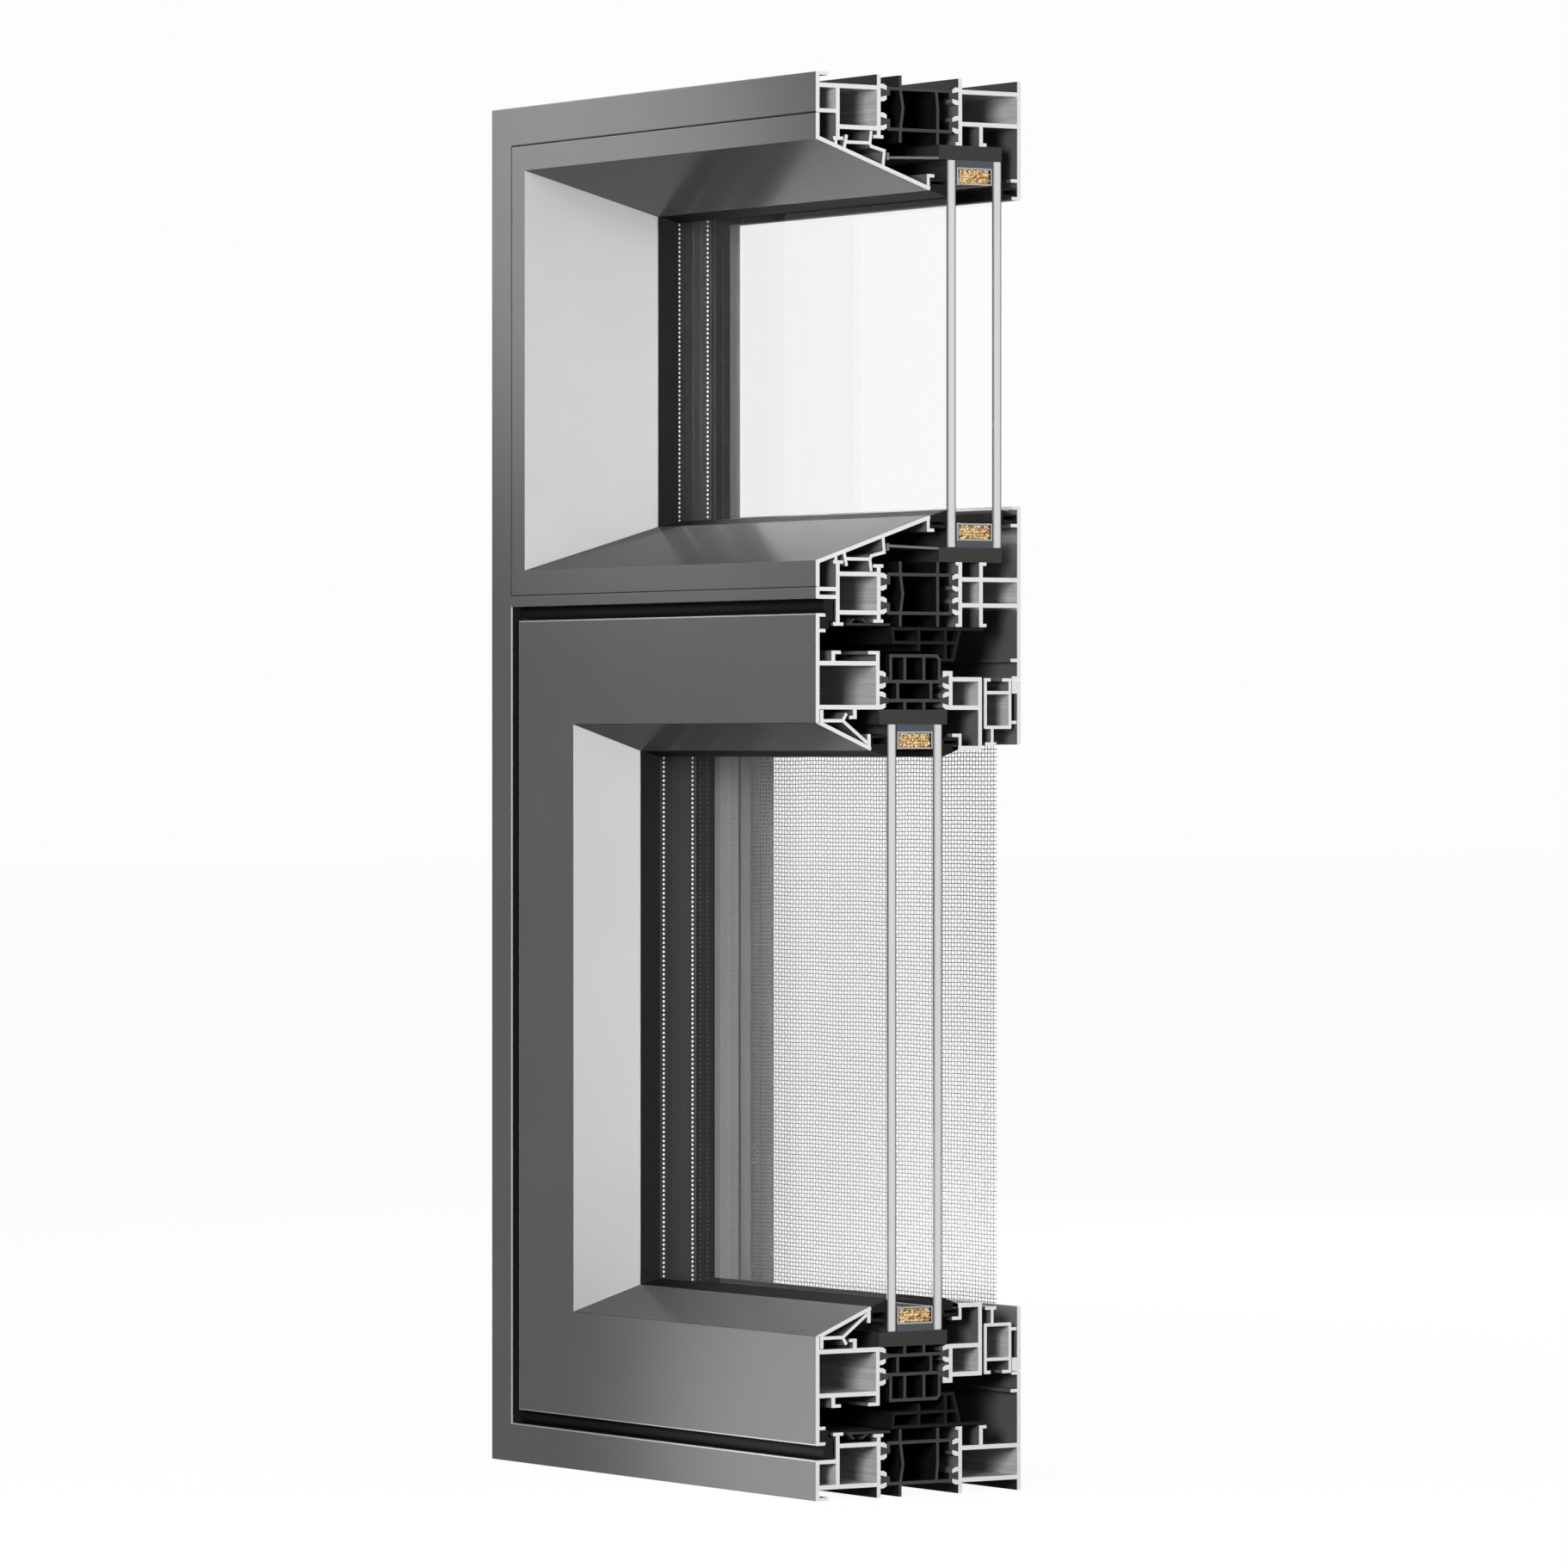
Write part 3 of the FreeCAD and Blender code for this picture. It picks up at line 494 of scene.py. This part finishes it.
def makeSeal(name, section, ring, *replaced):
    # the section carried round three sides, mitred at the left corners and cut flush at the right
    left, bottom, top = rings[ring]
    build = bmesh.new()
    rows = []
    for atLeft, atTop in ((False, False), (True, False), (True, True), (False, True)):
        row = []
        for depth, rise in section:
            x = left + rise if atLeft else sample["cut"]
            z = top - rise if atTop else bottom + rise
            row.append(build.verts.new((x * mm, (sample["front"] + depth) * mm, z * mm)))
        rows.append(row)
    for row, following in zip(rows, rows[1:]):
        for index in range(len(section)):
            build.faces.new((row[index - 1], row[index], following[index], following[index - 1]))
    build.faces.new(rows[0])
    build.faces.new(rows[-1])
    bmesh.ops.recalc_face_normals(build, faces=build.faces[:])
    mesh = bpy.data.meshes.new(name)
    build.to_mesh(mesh)
    build.free()
    mesh.materials.append(finish["black_rubber"])
    keep(newPiece(name, mesh), "black_rubber", *replaced)
    print(name, len(mesh.polygons), "faces")


makeSeal("overlap_seal", sealOutline(), "sash", "sash_overlap_gasket")
for name, look in lips.items():
    makeSeal(name, lipOutline(look), look["ring"])


def newShape(name, inputs):
    # a geometry tree with named inputs: its tree, its inputs and its end node's inputs
    kinds = {float: "NodeSocketFloat", int: "NodeSocketInt", "finish": "NodeSocketMaterial"}
    tree = bpy.data.node_groups.new(name, "GeometryNodeTree")
    tree.interface.new_socket("Geometry", in_out="INPUT", socket_type="NodeSocketGeometry")
    for socket, value in inputs.items():
        kind = kinds["finish"] if value == "finish" else kinds[type(value)]
        tree.interface.new_socket(socket, in_out="INPUT", socket_type=kind)
    tree.interface.new_socket("Geometry", in_out="OUTPUT", socket_type="NodeSocketGeometry")
    return tree, tree.nodes.new("NodeGroupInput").outputs, tree.nodes.new("NodeGroupOutput").inputs


def bakeShape(piece, tree, **values):
    # runs a geometry tree on a piece, and leaves a plain mesh
    shaper = piece.modifiers.new("shape", "NODES")
    shaper.node_group = tree
    for item in tree.interface.items_tree:
        if item.in_out == "INPUT" and item.name in values:
            shaper[item.identifier] = values[item.name]
    done = piece.evaluated_get(bpy.context.evaluated_depsgraph_get())
    mesh = bpy.data.meshes.new_from_object(done)
    piece.modifiers.clear()
    mesh.name = piece.name
    piece.data = mesh


def finishShape(tree, end, shape, material, smooth=True):
    real = place(tree, "GeometryNodeRealizeInstances", shape).outputs[0]
    if smooth:
        real = place(tree, "GeometryNodeSetShadeSmooth", real).outputs[0]
    painted = place(tree, "GeometryNodeSetMaterial", real)
    tree.links.new(material, painted.inputs["Material"])
    tree.links.new(painted.outputs[0], end["Geometry"])


def thinMetal(name, look):
    # small metal whose tone and gloss vary from spot to spot
    material, tree, shader = newMaterial(name)
    tone = noise(tree, milliPlace(tree), look["toneScale"], 2.0, 0.6)
    tree.links.new(blendColour(tree, tone, look["dark"], look["light"]), shader["Base Color"])
    rough = calc(tree, "MULTIPLY_ADD", tone, look["roughSpread"], look["roughness"])
    tree.links.new(rough, shader["Roughness"])
    shader["Metallic"].default_value = look["metallic"]
    return material


# woven wire: across and up are the distances between wires, wander is how far a wire strays, and the
# waves are the length and start of the quick one, and the length and drift of the slow one
weave = {"across": 2.4, "up": 1.8, "wire": 0.38, "sides": 4, "wander": 0.14, "swing": 0.6, "slowShare": 0.8,
         "wavesAcross": (5.3, 0.7, 13.1, 17.0), "wavesUp": (6.1, 1.9, 11.3, 23.0),
         "dark": grey(0.10), "light": grey(0.18), "toneScale": 0.6, "roughness": 0.45, "roughSpread": 0.2,
         "metallic": 0.3}


def buildWires():
    # wires along X, one above another, each bent over and under the ones it crosses
    names = {"Length": 0.0, "Step": 0.0, "Wires": 0, "Crossings": 0, "Thick": 0.0, "Sides": 0,
             "Finish": "finish"}
    tree, given, end = newShape("wovenWires", names)
    reach = place(tree, "ShaderNodeCombineXYZ", given["Length"]).outputs[0]
    line = place(tree, "GeometryNodeCurvePrimitiveLine")
    tree.links.new(reach, line.inputs["End"])
    bends = place(tree, "GeometryNodeResampleCurve", line.outputs[0], mode="COUNT")
    tree.links.new(given["Crossings"], bends.inputs["Count"])
    index = place(tree, "GeometryNodeInputIndex").outputs[0]
    side = calc(tree, "MULTIPLY_ADD", calc(tree, "MODULO", index, 2.0), 2.0, -1.0)
    swing = calc(tree, "MULTIPLY", side, calc(tree, "MULTIPLY", given["Thick"], 0.5))
    shift = place(tree, "ShaderNodeCombineXYZ", 0.0, swing).outputs[0]
    bent = place(tree, "GeometryNodeSetPosition", bends.outputs[0])
    tree.links.new(shift, bent.inputs["Offset"])
    ring = place(tree, "GeometryNodeCurvePrimitiveCircle", given["Sides"])
    tree.links.new(calc(tree, "MULTIPLY", given["Thick"], 0.5), ring.inputs["Radius"])
    wire = place(tree, "GeometryNodeCurveToMesh", bent.outputs[0], ring.outputs[0])
    wire.inputs["Fill Caps"].default_value = True
    rows = place(tree, "GeometryNodeMeshLine", given["Wires"], mode="OFFSET")
    step = place(tree, "ShaderNodeCombineXYZ", 0.0, 0.0, given["Step"]).outputs[0]
    tree.links.new(step, rows.inputs["Offset"])
    flip = calc(tree, "MULTIPLY", calc(tree, "MODULO", index, 2.0), math.pi)
    copies = place(tree, "GeometryNodeInstanceOnPoints", rows.outputs[0])
    tree.links.new(wire.outputs[0], copies.inputs["Instance"])
    tree.links.new(place(tree, "ShaderNodeCombineXYZ", flip).outputs[0], copies.inputs["Rotation"])
    finishShape(tree, end, copies.outputs[0], given["Finish"], smooth=False)
    return tree


def waver(along, across, waves):
    quickLength, start, slowLength, drift = waves
    quick = np.sin(along / quickLength + start)
    slow = np.sin(along / slowLength + across / drift)
    return weave["wander"] * mm * (quick + weave["slowShare"] * slow) * weave["swing"]


def strayed(points):
    # the cloth's slow waver in its own plane, the same for both directions of wire
    x, z = points[:, 0] / mm, points[:, 2] / mm
    points[:, 0] += waver(z, x, weave["wavesAcross"])
    points[:, 2] += waver(x, z, weave["wavesUp"])
    return points


def makeScreen():
    low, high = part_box("insect_screen")
    size, tree, look = high - low, buildWires(), thinMetal("screen_wire", weave)
    columns = int(size.x / mm / weave["across"])
    rows = int(size.z / mm / weave["up"])
    runs = {
        "screen_weft": (size.x, size.z / rows, rows, columns + 1, Matrix.Identity(4)),
        "screen_warp": (size.z, size.x / columns, columns, rows + 1,
                        Matrix(((0, 0, 1, 0), (0, -1, 0, 0), (1, 0, 0, 0), (0, 0, 0, 1)))),
    }
    for name, (length, step, wires, crossings, turn) in runs.items():
        piece = newPiece(name, bpy.data.meshes.new(name))
        bakeShape(piece, tree, Length=length, Step=step, Wires=wires, Crossings=crossings,
                  Thick=weave["wire"] * mm, Sides=weave["sides"], Finish=look)
        piece.data.transform(turn)
        points = np.empty(len(piece.data.vertices) * 3)
        piece.data.vertices.foreach_get("co", points)
        points = points.reshape(-1, 3) + np.array((low.x, (low.y + high.y) / 2, low.z))
        points = strayed(points)
        points[:, 0] = np.clip(points[:, 0], low.x, high.x)
        points[:, 2] = np.clip(points[:, 2] + step / 2 * (name == "screen_weft"), low.z, high.z)
        piece.data.vertices.foreach_set("co", points.ravel())
        piece.data.update()
        keep(piece, "screen_wire", "insect_screen")
        print(name, len(piece.data.polygons), "faces")


makeScreen()

# bright punched rims along both edges of the spacer's sight face
perforation = {"pitch": 2.1, "radius": 0.62, "proud": 0.12, "inset": 1.5, "faces": (8, 4),
               "dark": grey(0.7), "light": grey(0.92), "toneScale": 1.3, "roughness": 0.4,
               "roughSpread": 0.2, "metallic": 0.3}
spacer = {"gap": 0.5, "inset": 3.3, "rise": 7.7, "wall": 0.6}


def buildRims():
    # small domes at even distances along the given lines, standing up along the lines' facing
    names = {"Pitch": 0.0, "Radius": 0.0, "Flat": 0.0, "Finish": "finish"}
    tree, given, end = newShape("spacerRims", names)
    lines = place(tree, "GeometryNodeMeshToCurve", given["Geometry"]).outputs[0]
    even = place(tree, "GeometryNodeResampleCurve", lines, mode="LENGTH")
    tree.links.new(given["Pitch"], even.inputs["Length"])
    facing = place(tree, "GeometryNodeInputNamedAttribute", "facing", data_type="FLOAT_VECTOR").outputs[0]
    turn = place(tree, "FunctionNodeAlignRotationToVector", None, None, facing, axis="Z").outputs[0]
    dome = place(tree, "GeometryNodeMeshUVSphere", *perforation["faces"], given["Radius"]).outputs[0]
    copies = place(tree, "GeometryNodeInstanceOnPoints", even.outputs[0])
    tree.links.new(dome, copies.inputs["Instance"])
    tree.links.new(turn, copies.inputs["Rotation"])
    flat = place(tree, "ShaderNodeCombineXYZ", 1.0, 1.0, given["Flat"]).outputs[0]
    tree.links.new(flat, copies.inputs["Scale"])
    finishShape(tree, end, copies.outputs[0], given["Finish"])
    return tree


def makeRims(unit, look, tree, material):
    left, bottom, top = rings[look["ring"]]
    rise = look["rise"] + spacer["inset"] + spacer["rise"]
    start = look["near"] + glass["thick"] + spacer["gap"] + perforation["inset"]
    end = look["near"] + glass["thick"] + glass["space"] - spacer["gap"] - perforation["inset"]
    reach = perforation["pitch"]
    spots, edges, facings = [], [], []
    for depth in (start, end):
        y = sample["front"] + depth
        for first, last, facing in (
            ((left + rise + reach, top - rise), (sample["cut"] - reach / 2, top - rise), (0, 0, -1)),
            ((left + rise, bottom + rise + reach), (left + rise, top - rise - reach), (1, 0, 0)),
            ((left + rise + reach, bottom + rise), (sample["cut"] - reach / 2, bottom + rise), (0, 0, 1)),
        ):
            edges.append((len(spots), len(spots) + 1))
            spots += [(x * mm, y * mm, z * mm) for x, z in (first, last)]
            facings += [facing, facing]
    name = unit + "_spacer_rims"
    mesh = bpy.data.meshes.new(name)
    mesh.from_pydata(spots, edges, [])
    mark = mesh.attributes.new("facing", "FLOAT_VECTOR", "POINT")
    mark.data.foreach_set("vector", [value for facing in facings for value in facing])
    piece = newPiece(name, mesh)
    bakeShape(piece, tree, Pitch=reach * mm, Radius=perforation["radius"] * mm,
              Flat=perforation["proud"] / perforation["radius"], Finish=material)
    keep(piece, "spacer_metal")
    print(name, len(piece.data.polygons), "faces")


rimTree, rimLook = buildRims(), thinMetal("spacer_rims", perforation)
for unit, look in units.items():
    makeRims(unit, look, rimTree, rimLook)

# drying grains that fill the spacer and show at the cut
grains = {"size": 1.35, "sizes": (0.82, 1.12), "faces": (8, 5), "columns": 14, "rows": 5, "layers": 3,
          "layerShare": 0.8, "jitter": 0.28, "seed": 7, "clear": 0.1, "setBack": 1.6,
          "dark": (0.16, 0.07, 0.02, 1), "middle": (0.80, 0.52, 0.22, 1), "light": (1.0, 0.84, 0.54, 1),
          "stops": (0.38, 0.48, 0.62), "toneScale": 0.75, "fineScale": 6.0, "roughness": 0.6,
          "roughSpread": 0.2, "bump": 0.3, "bumpReach": 0.05}


def grainFinish():
    material, tree, shader = newMaterial("desiccant")
    spot = milliPlace(tree)
    tone = noise(tree, spot, grains["toneScale"], 2.0, 0.7)
    ramp = place(tree, "ShaderNodeValToRGB", tone)
    stops = ramp.color_ramp.elements
    first, second, last = grains["stops"]
    stops[0].position, stops[0].color = first, grains["dark"]
    stops[1].position, stops[1].color = last, grains["light"]
    stops.new(second).color = grains["middle"]
    tree.links.new(ramp.outputs[0], shader["Base Color"])
    fine = noise(tree, spot, grains["fineScale"], 2.0, 0.6)
    rough = calc(tree, "MULTIPLY_ADD", fine, grains["roughSpread"], grains["roughness"])
    tree.links.new(rough, shader["Roughness"])
    bump = place(tree, "ShaderNodeBump", grains["bump"], grains["bumpReach"] * mm)
    tree.links.new(fine, bump.inputs["Height"])
    tree.links.new(bump.outputs[0], shader["Normal"])
    return material


def buildGrains():
    # grains in rows and columns and a few layers deep, each pushed a little out of its place
    names = {"Columns": 0, "Rows": 0, "Layers": 0, "Wide": 0.0, "High": 0.0, "Deep": 0.0, "Size": 0.0,
             "Jitter": 0.0, "Seed": 0, "Finish": "finish"}
    tree, given, end = newShape("dryingGrains", names)
    index = place(tree, "GeometryNodeInputIndex").outputs[0]
    perLayer = calc(tree, "MULTIPLY", given["Columns"], given["Rows"])
    cloud = place(tree, "GeometryNodePoints", calc(tree, "MULTIPLY", perLayer, given["Layers"]))
    column = calc(tree, "MODULO", index, given["Columns"])
    line = calc(tree, "FLOOR", calc(tree, "DIVIDE", index, given["Columns"]))
    row = calc(tree, "MODULO", line, given["Rows"])
    layer = calc(tree, "FLOOR", calc(tree, "DIVIDE", index, perLayer))
    shifted = calc(tree, "ADD", column, calc(tree, "MULTIPLY", calc(tree, "MODULO", row, 2.0), 0.5))
    spot = place(tree, "ShaderNodeCombineXYZ", calc(tree, "MULTIPLY", layer, given["Deep"]),
                 calc(tree, "MULTIPLY", shifted, given["Wide"]), calc(tree, "MULTIPLY", row, given["High"]))
    free = place(tree, "FunctionNodeRandomValue", data_type="FLOAT_VECTOR")
    tree.links.new(given["Seed"], free.inputs["Seed"])
    free.inputs[0].default_value = (-1, -1, -1)
    push = place(tree, "ShaderNodeVectorMath", free.outputs[0], None, None, given["Jitter"],
                 operation="SCALE")
    where = place(tree, "ShaderNodeVectorMath", spot.outputs[0], push.outputs[0], operation="ADD")
    moved = place(tree, "GeometryNodeSetPosition", cloud.outputs[0])
    tree.links.new(where.outputs[0], moved.inputs["Position"])
    radius = calc(tree, "MULTIPLY", given["Size"], 0.5)
    ball = place(tree, "GeometryNodeMeshUVSphere", *grains["faces"], radius)
    sizes = place(tree, "FunctionNodeRandomValue", data_type="FLOAT")
    sizes.inputs[2].default_value, sizes.inputs[3].default_value = grains["sizes"]
    copies = place(tree, "GeometryNodeInstanceOnPoints", moved.outputs[0])
    tree.links.new(ball.outputs[0], copies.inputs["Instance"])
    tree.links.new(free.outputs[0], copies.inputs["Rotation"])
    tree.links.new(sizes.outputs[1], copies.inputs["Scale"])
    finishShape(tree, end, copies.outputs[0], given["Finish"])
    return tree


def makeGrains(unit, look, tree, material):
    bottom, top = rings[look["ring"]][1:]
    low = look["rise"] + spacer["inset"] + spacer["wall"]
    high = look["rise"] + spacer["inset"] + spacer["rise"] - spacer["wall"]
    near = look["near"] + glass["thick"] + spacer["gap"] + spacer["wall"]
    far = look["near"] + glass["thick"] + glass["space"] - spacer["gap"] - spacer["wall"]
    size = grains["size"]
    wide = (far - near - size) / (grains["columns"] - 0.5)
    tall = (high - low - size) / (grains["rows"] - 1)
    build = bmesh.new()
    for seed, floor in enumerate((bottom + low, top - high)):
        piece = newPiece("grains", bpy.data.meshes.new("grains"))
        bakeShape(piece, tree, Columns=grains["columns"], Rows=grains["rows"], Layers=grains["layers"],
                  Wide=wide * mm, High=tall * mm, Deep=-size * grains["layerShare"] * mm, Size=size * mm,
                  Jitter=grains["jitter"] * mm, Seed=grains["seed"] + seed, Finish=material)
        first = Vector((sample["cut"] - size / 2 - grains["jitter"] - grains["clear"],
                        sample["front"] + near + size / 2, floor + size / 2)) * mm
        piece.data.transform(Matrix.Translation(first))
        build.from_mesh(piece.data)
        bpy.data.objects.remove(piece)
    # the rest of the fill, a bar that stops short of the cut
    bar = bmesh.new()
    bar.from_mesh(nodes[unit + "_desiccant"].data)
    bmesh.ops.remove_doubles(bar, verts=bar.verts[:], dist=hair)
    for vertex in bar.verts:
        if vertex.co.x > (sample["cut"] - grains["clear"]) * mm:
            vertex.co.x -= grains["setBack"] * mm
    fill = bpy.data.meshes.new("fill")
    bar.to_mesh(fill)
    bar.free()
    build.from_mesh(fill)
    name = unit + "_desiccant_grains"
    mesh = bpy.data.meshes.new(name)
    build.to_mesh(mesh)
    build.free()
    mesh.materials.clear()
    mesh.materials.append(material)
    keep(newPiece(name, mesh), "desiccant", unit + "_desiccant")
    print(name, len(mesh.polygons), "faces")


grainTree, grainLook = buildGrains(), grainFinish()
for unit, look in units.items():
    makeGrains(unit, look, grainTree, grainLook)

# mirrored rays see the white backdrop only towards this direction, and elsewhere a dim room
studio = {"ambient": 0.20, "dim": 0.06, "mirrored": 0.66, "backdrop": 0.98, "towards": (-0.837, 0.546, 0.0),
          "edge": (0.45, 0.75), "floorColour": grey(0.08, 1.0), "floorRoughness": 0.9, "floorGlow": 0.95,
          "floorReach": 40.0}
# a softbox has a size, and a spot has a cone in degrees and a radius
lamps = {
    "right_softbox": {"place": (2.0, -0.20, 0.38), "aim": (0.0, -0.03, 0.38), "size": (1.1, 1.0),
                      "power": 9.7},
    "front_right_softbox": {"place": (1.25, -1.75, 0.70), "aim": (0.0, -0.056, 0.32), "size": (0.7, 0.7),
                            "power": 43.0},
    "rear_softbox": {"place": (-0.95, 2.20, 0.45), "aim": (0.0, 0.056, 0.32), "size": (0.9, 0.9),
                     "power": 30.0},
    "upper_left_spot": {"place": (-0.85, -1.10, 1.15), "aim": (-0.060, -0.056, 0.595), "cone": 14.5,
                        "radius": 0.05, "power": 146.0},
    "lower_right_spot": {"place": (-0.25, -1.35, 0.04), "aim": (0.18, -0.056, 0.005), "cone": 19.5,
                         "radius": 0.05, "power": 116.0},
}


def makeLamp(name, look):
    lamp = bpy.data.lights.new(name, "SPOT" if "cone" in look else "AREA")
    lamp.energy = look["power"]
    if "cone" in look:
        lamp.spot_size = math.radians(look["cone"])
        lamp.spot_blend = 1.0
        lamp.shadow_soft_size = look["radius"]
    else:
        lamp.shape = "RECTANGLE"
        lamp.size, lamp.size_y = look["size"]
    holder = bpy.data.objects.new(name, lamp)
    holder.location = look["place"]
    way = Vector(look["aim"]) - Vector(look["place"])
    holder.rotation_euler = way.to_track_quat("-Z", "Y").to_euler()
    holder.visible_camera = False
    holder.visible_transmission = False
    bpy.context.scene.collection.objects.link(holder)


def seenRays(tree, path):
    # 1 for straight rays and for rays through glass
    return calc(tree, "MAXIMUM", path["Is Camera Ray"], path["Is Transmission Ray"])


def makeWorld():
    world = bpy.data.worlds.new("studio")
    world.use_nodes = True
    tree = world.node_tree
    path = place(tree, "ShaderNodeLightPath").outputs
    way = place(tree, "ShaderNodeTexCoord").outputs["Generated"]
    aim = place(tree, "ShaderNodeVectorMath", way, studio["towards"], operation="DOT_PRODUCT")
    behind = place(tree, "ShaderNodeMapRange", aim.outputs["Value"], *studio["edge"], studio["dim"],
                   studio["mirrored"]).outputs[0]
    mirrored = blendValue(tree, path["Is Glossy Ray"], studio["ambient"], behind)
    tone = blendValue(tree, seenRays(tree, path), mirrored, studio["backdrop"])
    colour = place(tree, "ShaderNodeCombineColor", tone, tone, tone).outputs[0]
    tree.links.new(colour, tree.nodes["Background"].inputs["Color"])
    bpy.context.scene.world = world


def makeFloor():
    reach = studio["floorReach"] / 2
    mesh = bpy.data.meshes.new("floor")
    mesh.from_pydata([(-reach, -reach, 0), (reach, -reach, 0), (reach, reach, 0), (-reach, reach, 0)], [],
                     [(0, 1, 2, 3)])
    material, tree, shader = newMaterial("studio_floor")
    shader["Base Color"].default_value = studio["floorColour"]
    shader["Roughness"].default_value = studio["floorRoughness"]
    shader["Specular IOR Level"].default_value = 0.0
    shader["Emission Color"].default_value = (1, 1, 1, 1)
    path = place(tree, "ShaderNodeLightPath").outputs
    glow = calc(tree, "MULTIPLY", seenRays(tree, path), studio["floorGlow"])
    tree.links.new(glow, shader["Emission Strength"])
    mesh.materials.append(material)
    floor = newPiece("floor", mesh)
    floor.visible_glossy = False


# angles in degrees, and the sensor and lens in millimetres
camera = {"place": (3.34867, -2.16666, 0.33277), "azimuth": 56.872, "elevation": 0.1743, "sensor": 36.0,
          "lens": 197.10, "clipEnd": 100.0}


def makeCamera():
    lens = bpy.data.cameras.new("camera")
    lens.sensor_fit = "HORIZONTAL"
    lens.sensor_width = camera["sensor"]
    lens.lens = camera["lens"]
    lens.clip_end = camera["clipEnd"]
    holder = bpy.data.objects.new("camera", lens)
    holder.location = camera["place"]
    holder.rotation_euler = (math.radians(90 - camera["elevation"]), 0, math.radians(camera["azimuth"]))
    bpy.context.scene.collection.objects.link(holder)
    bpy.context.scene.camera = holder


for name, look in lamps.items():
    makeLamp(name, look)
makeWorld()
makeFloor()
makeCamera()
bpy.context.scene.view_settings.view_transform = "Standard"
print("studio and camera set")
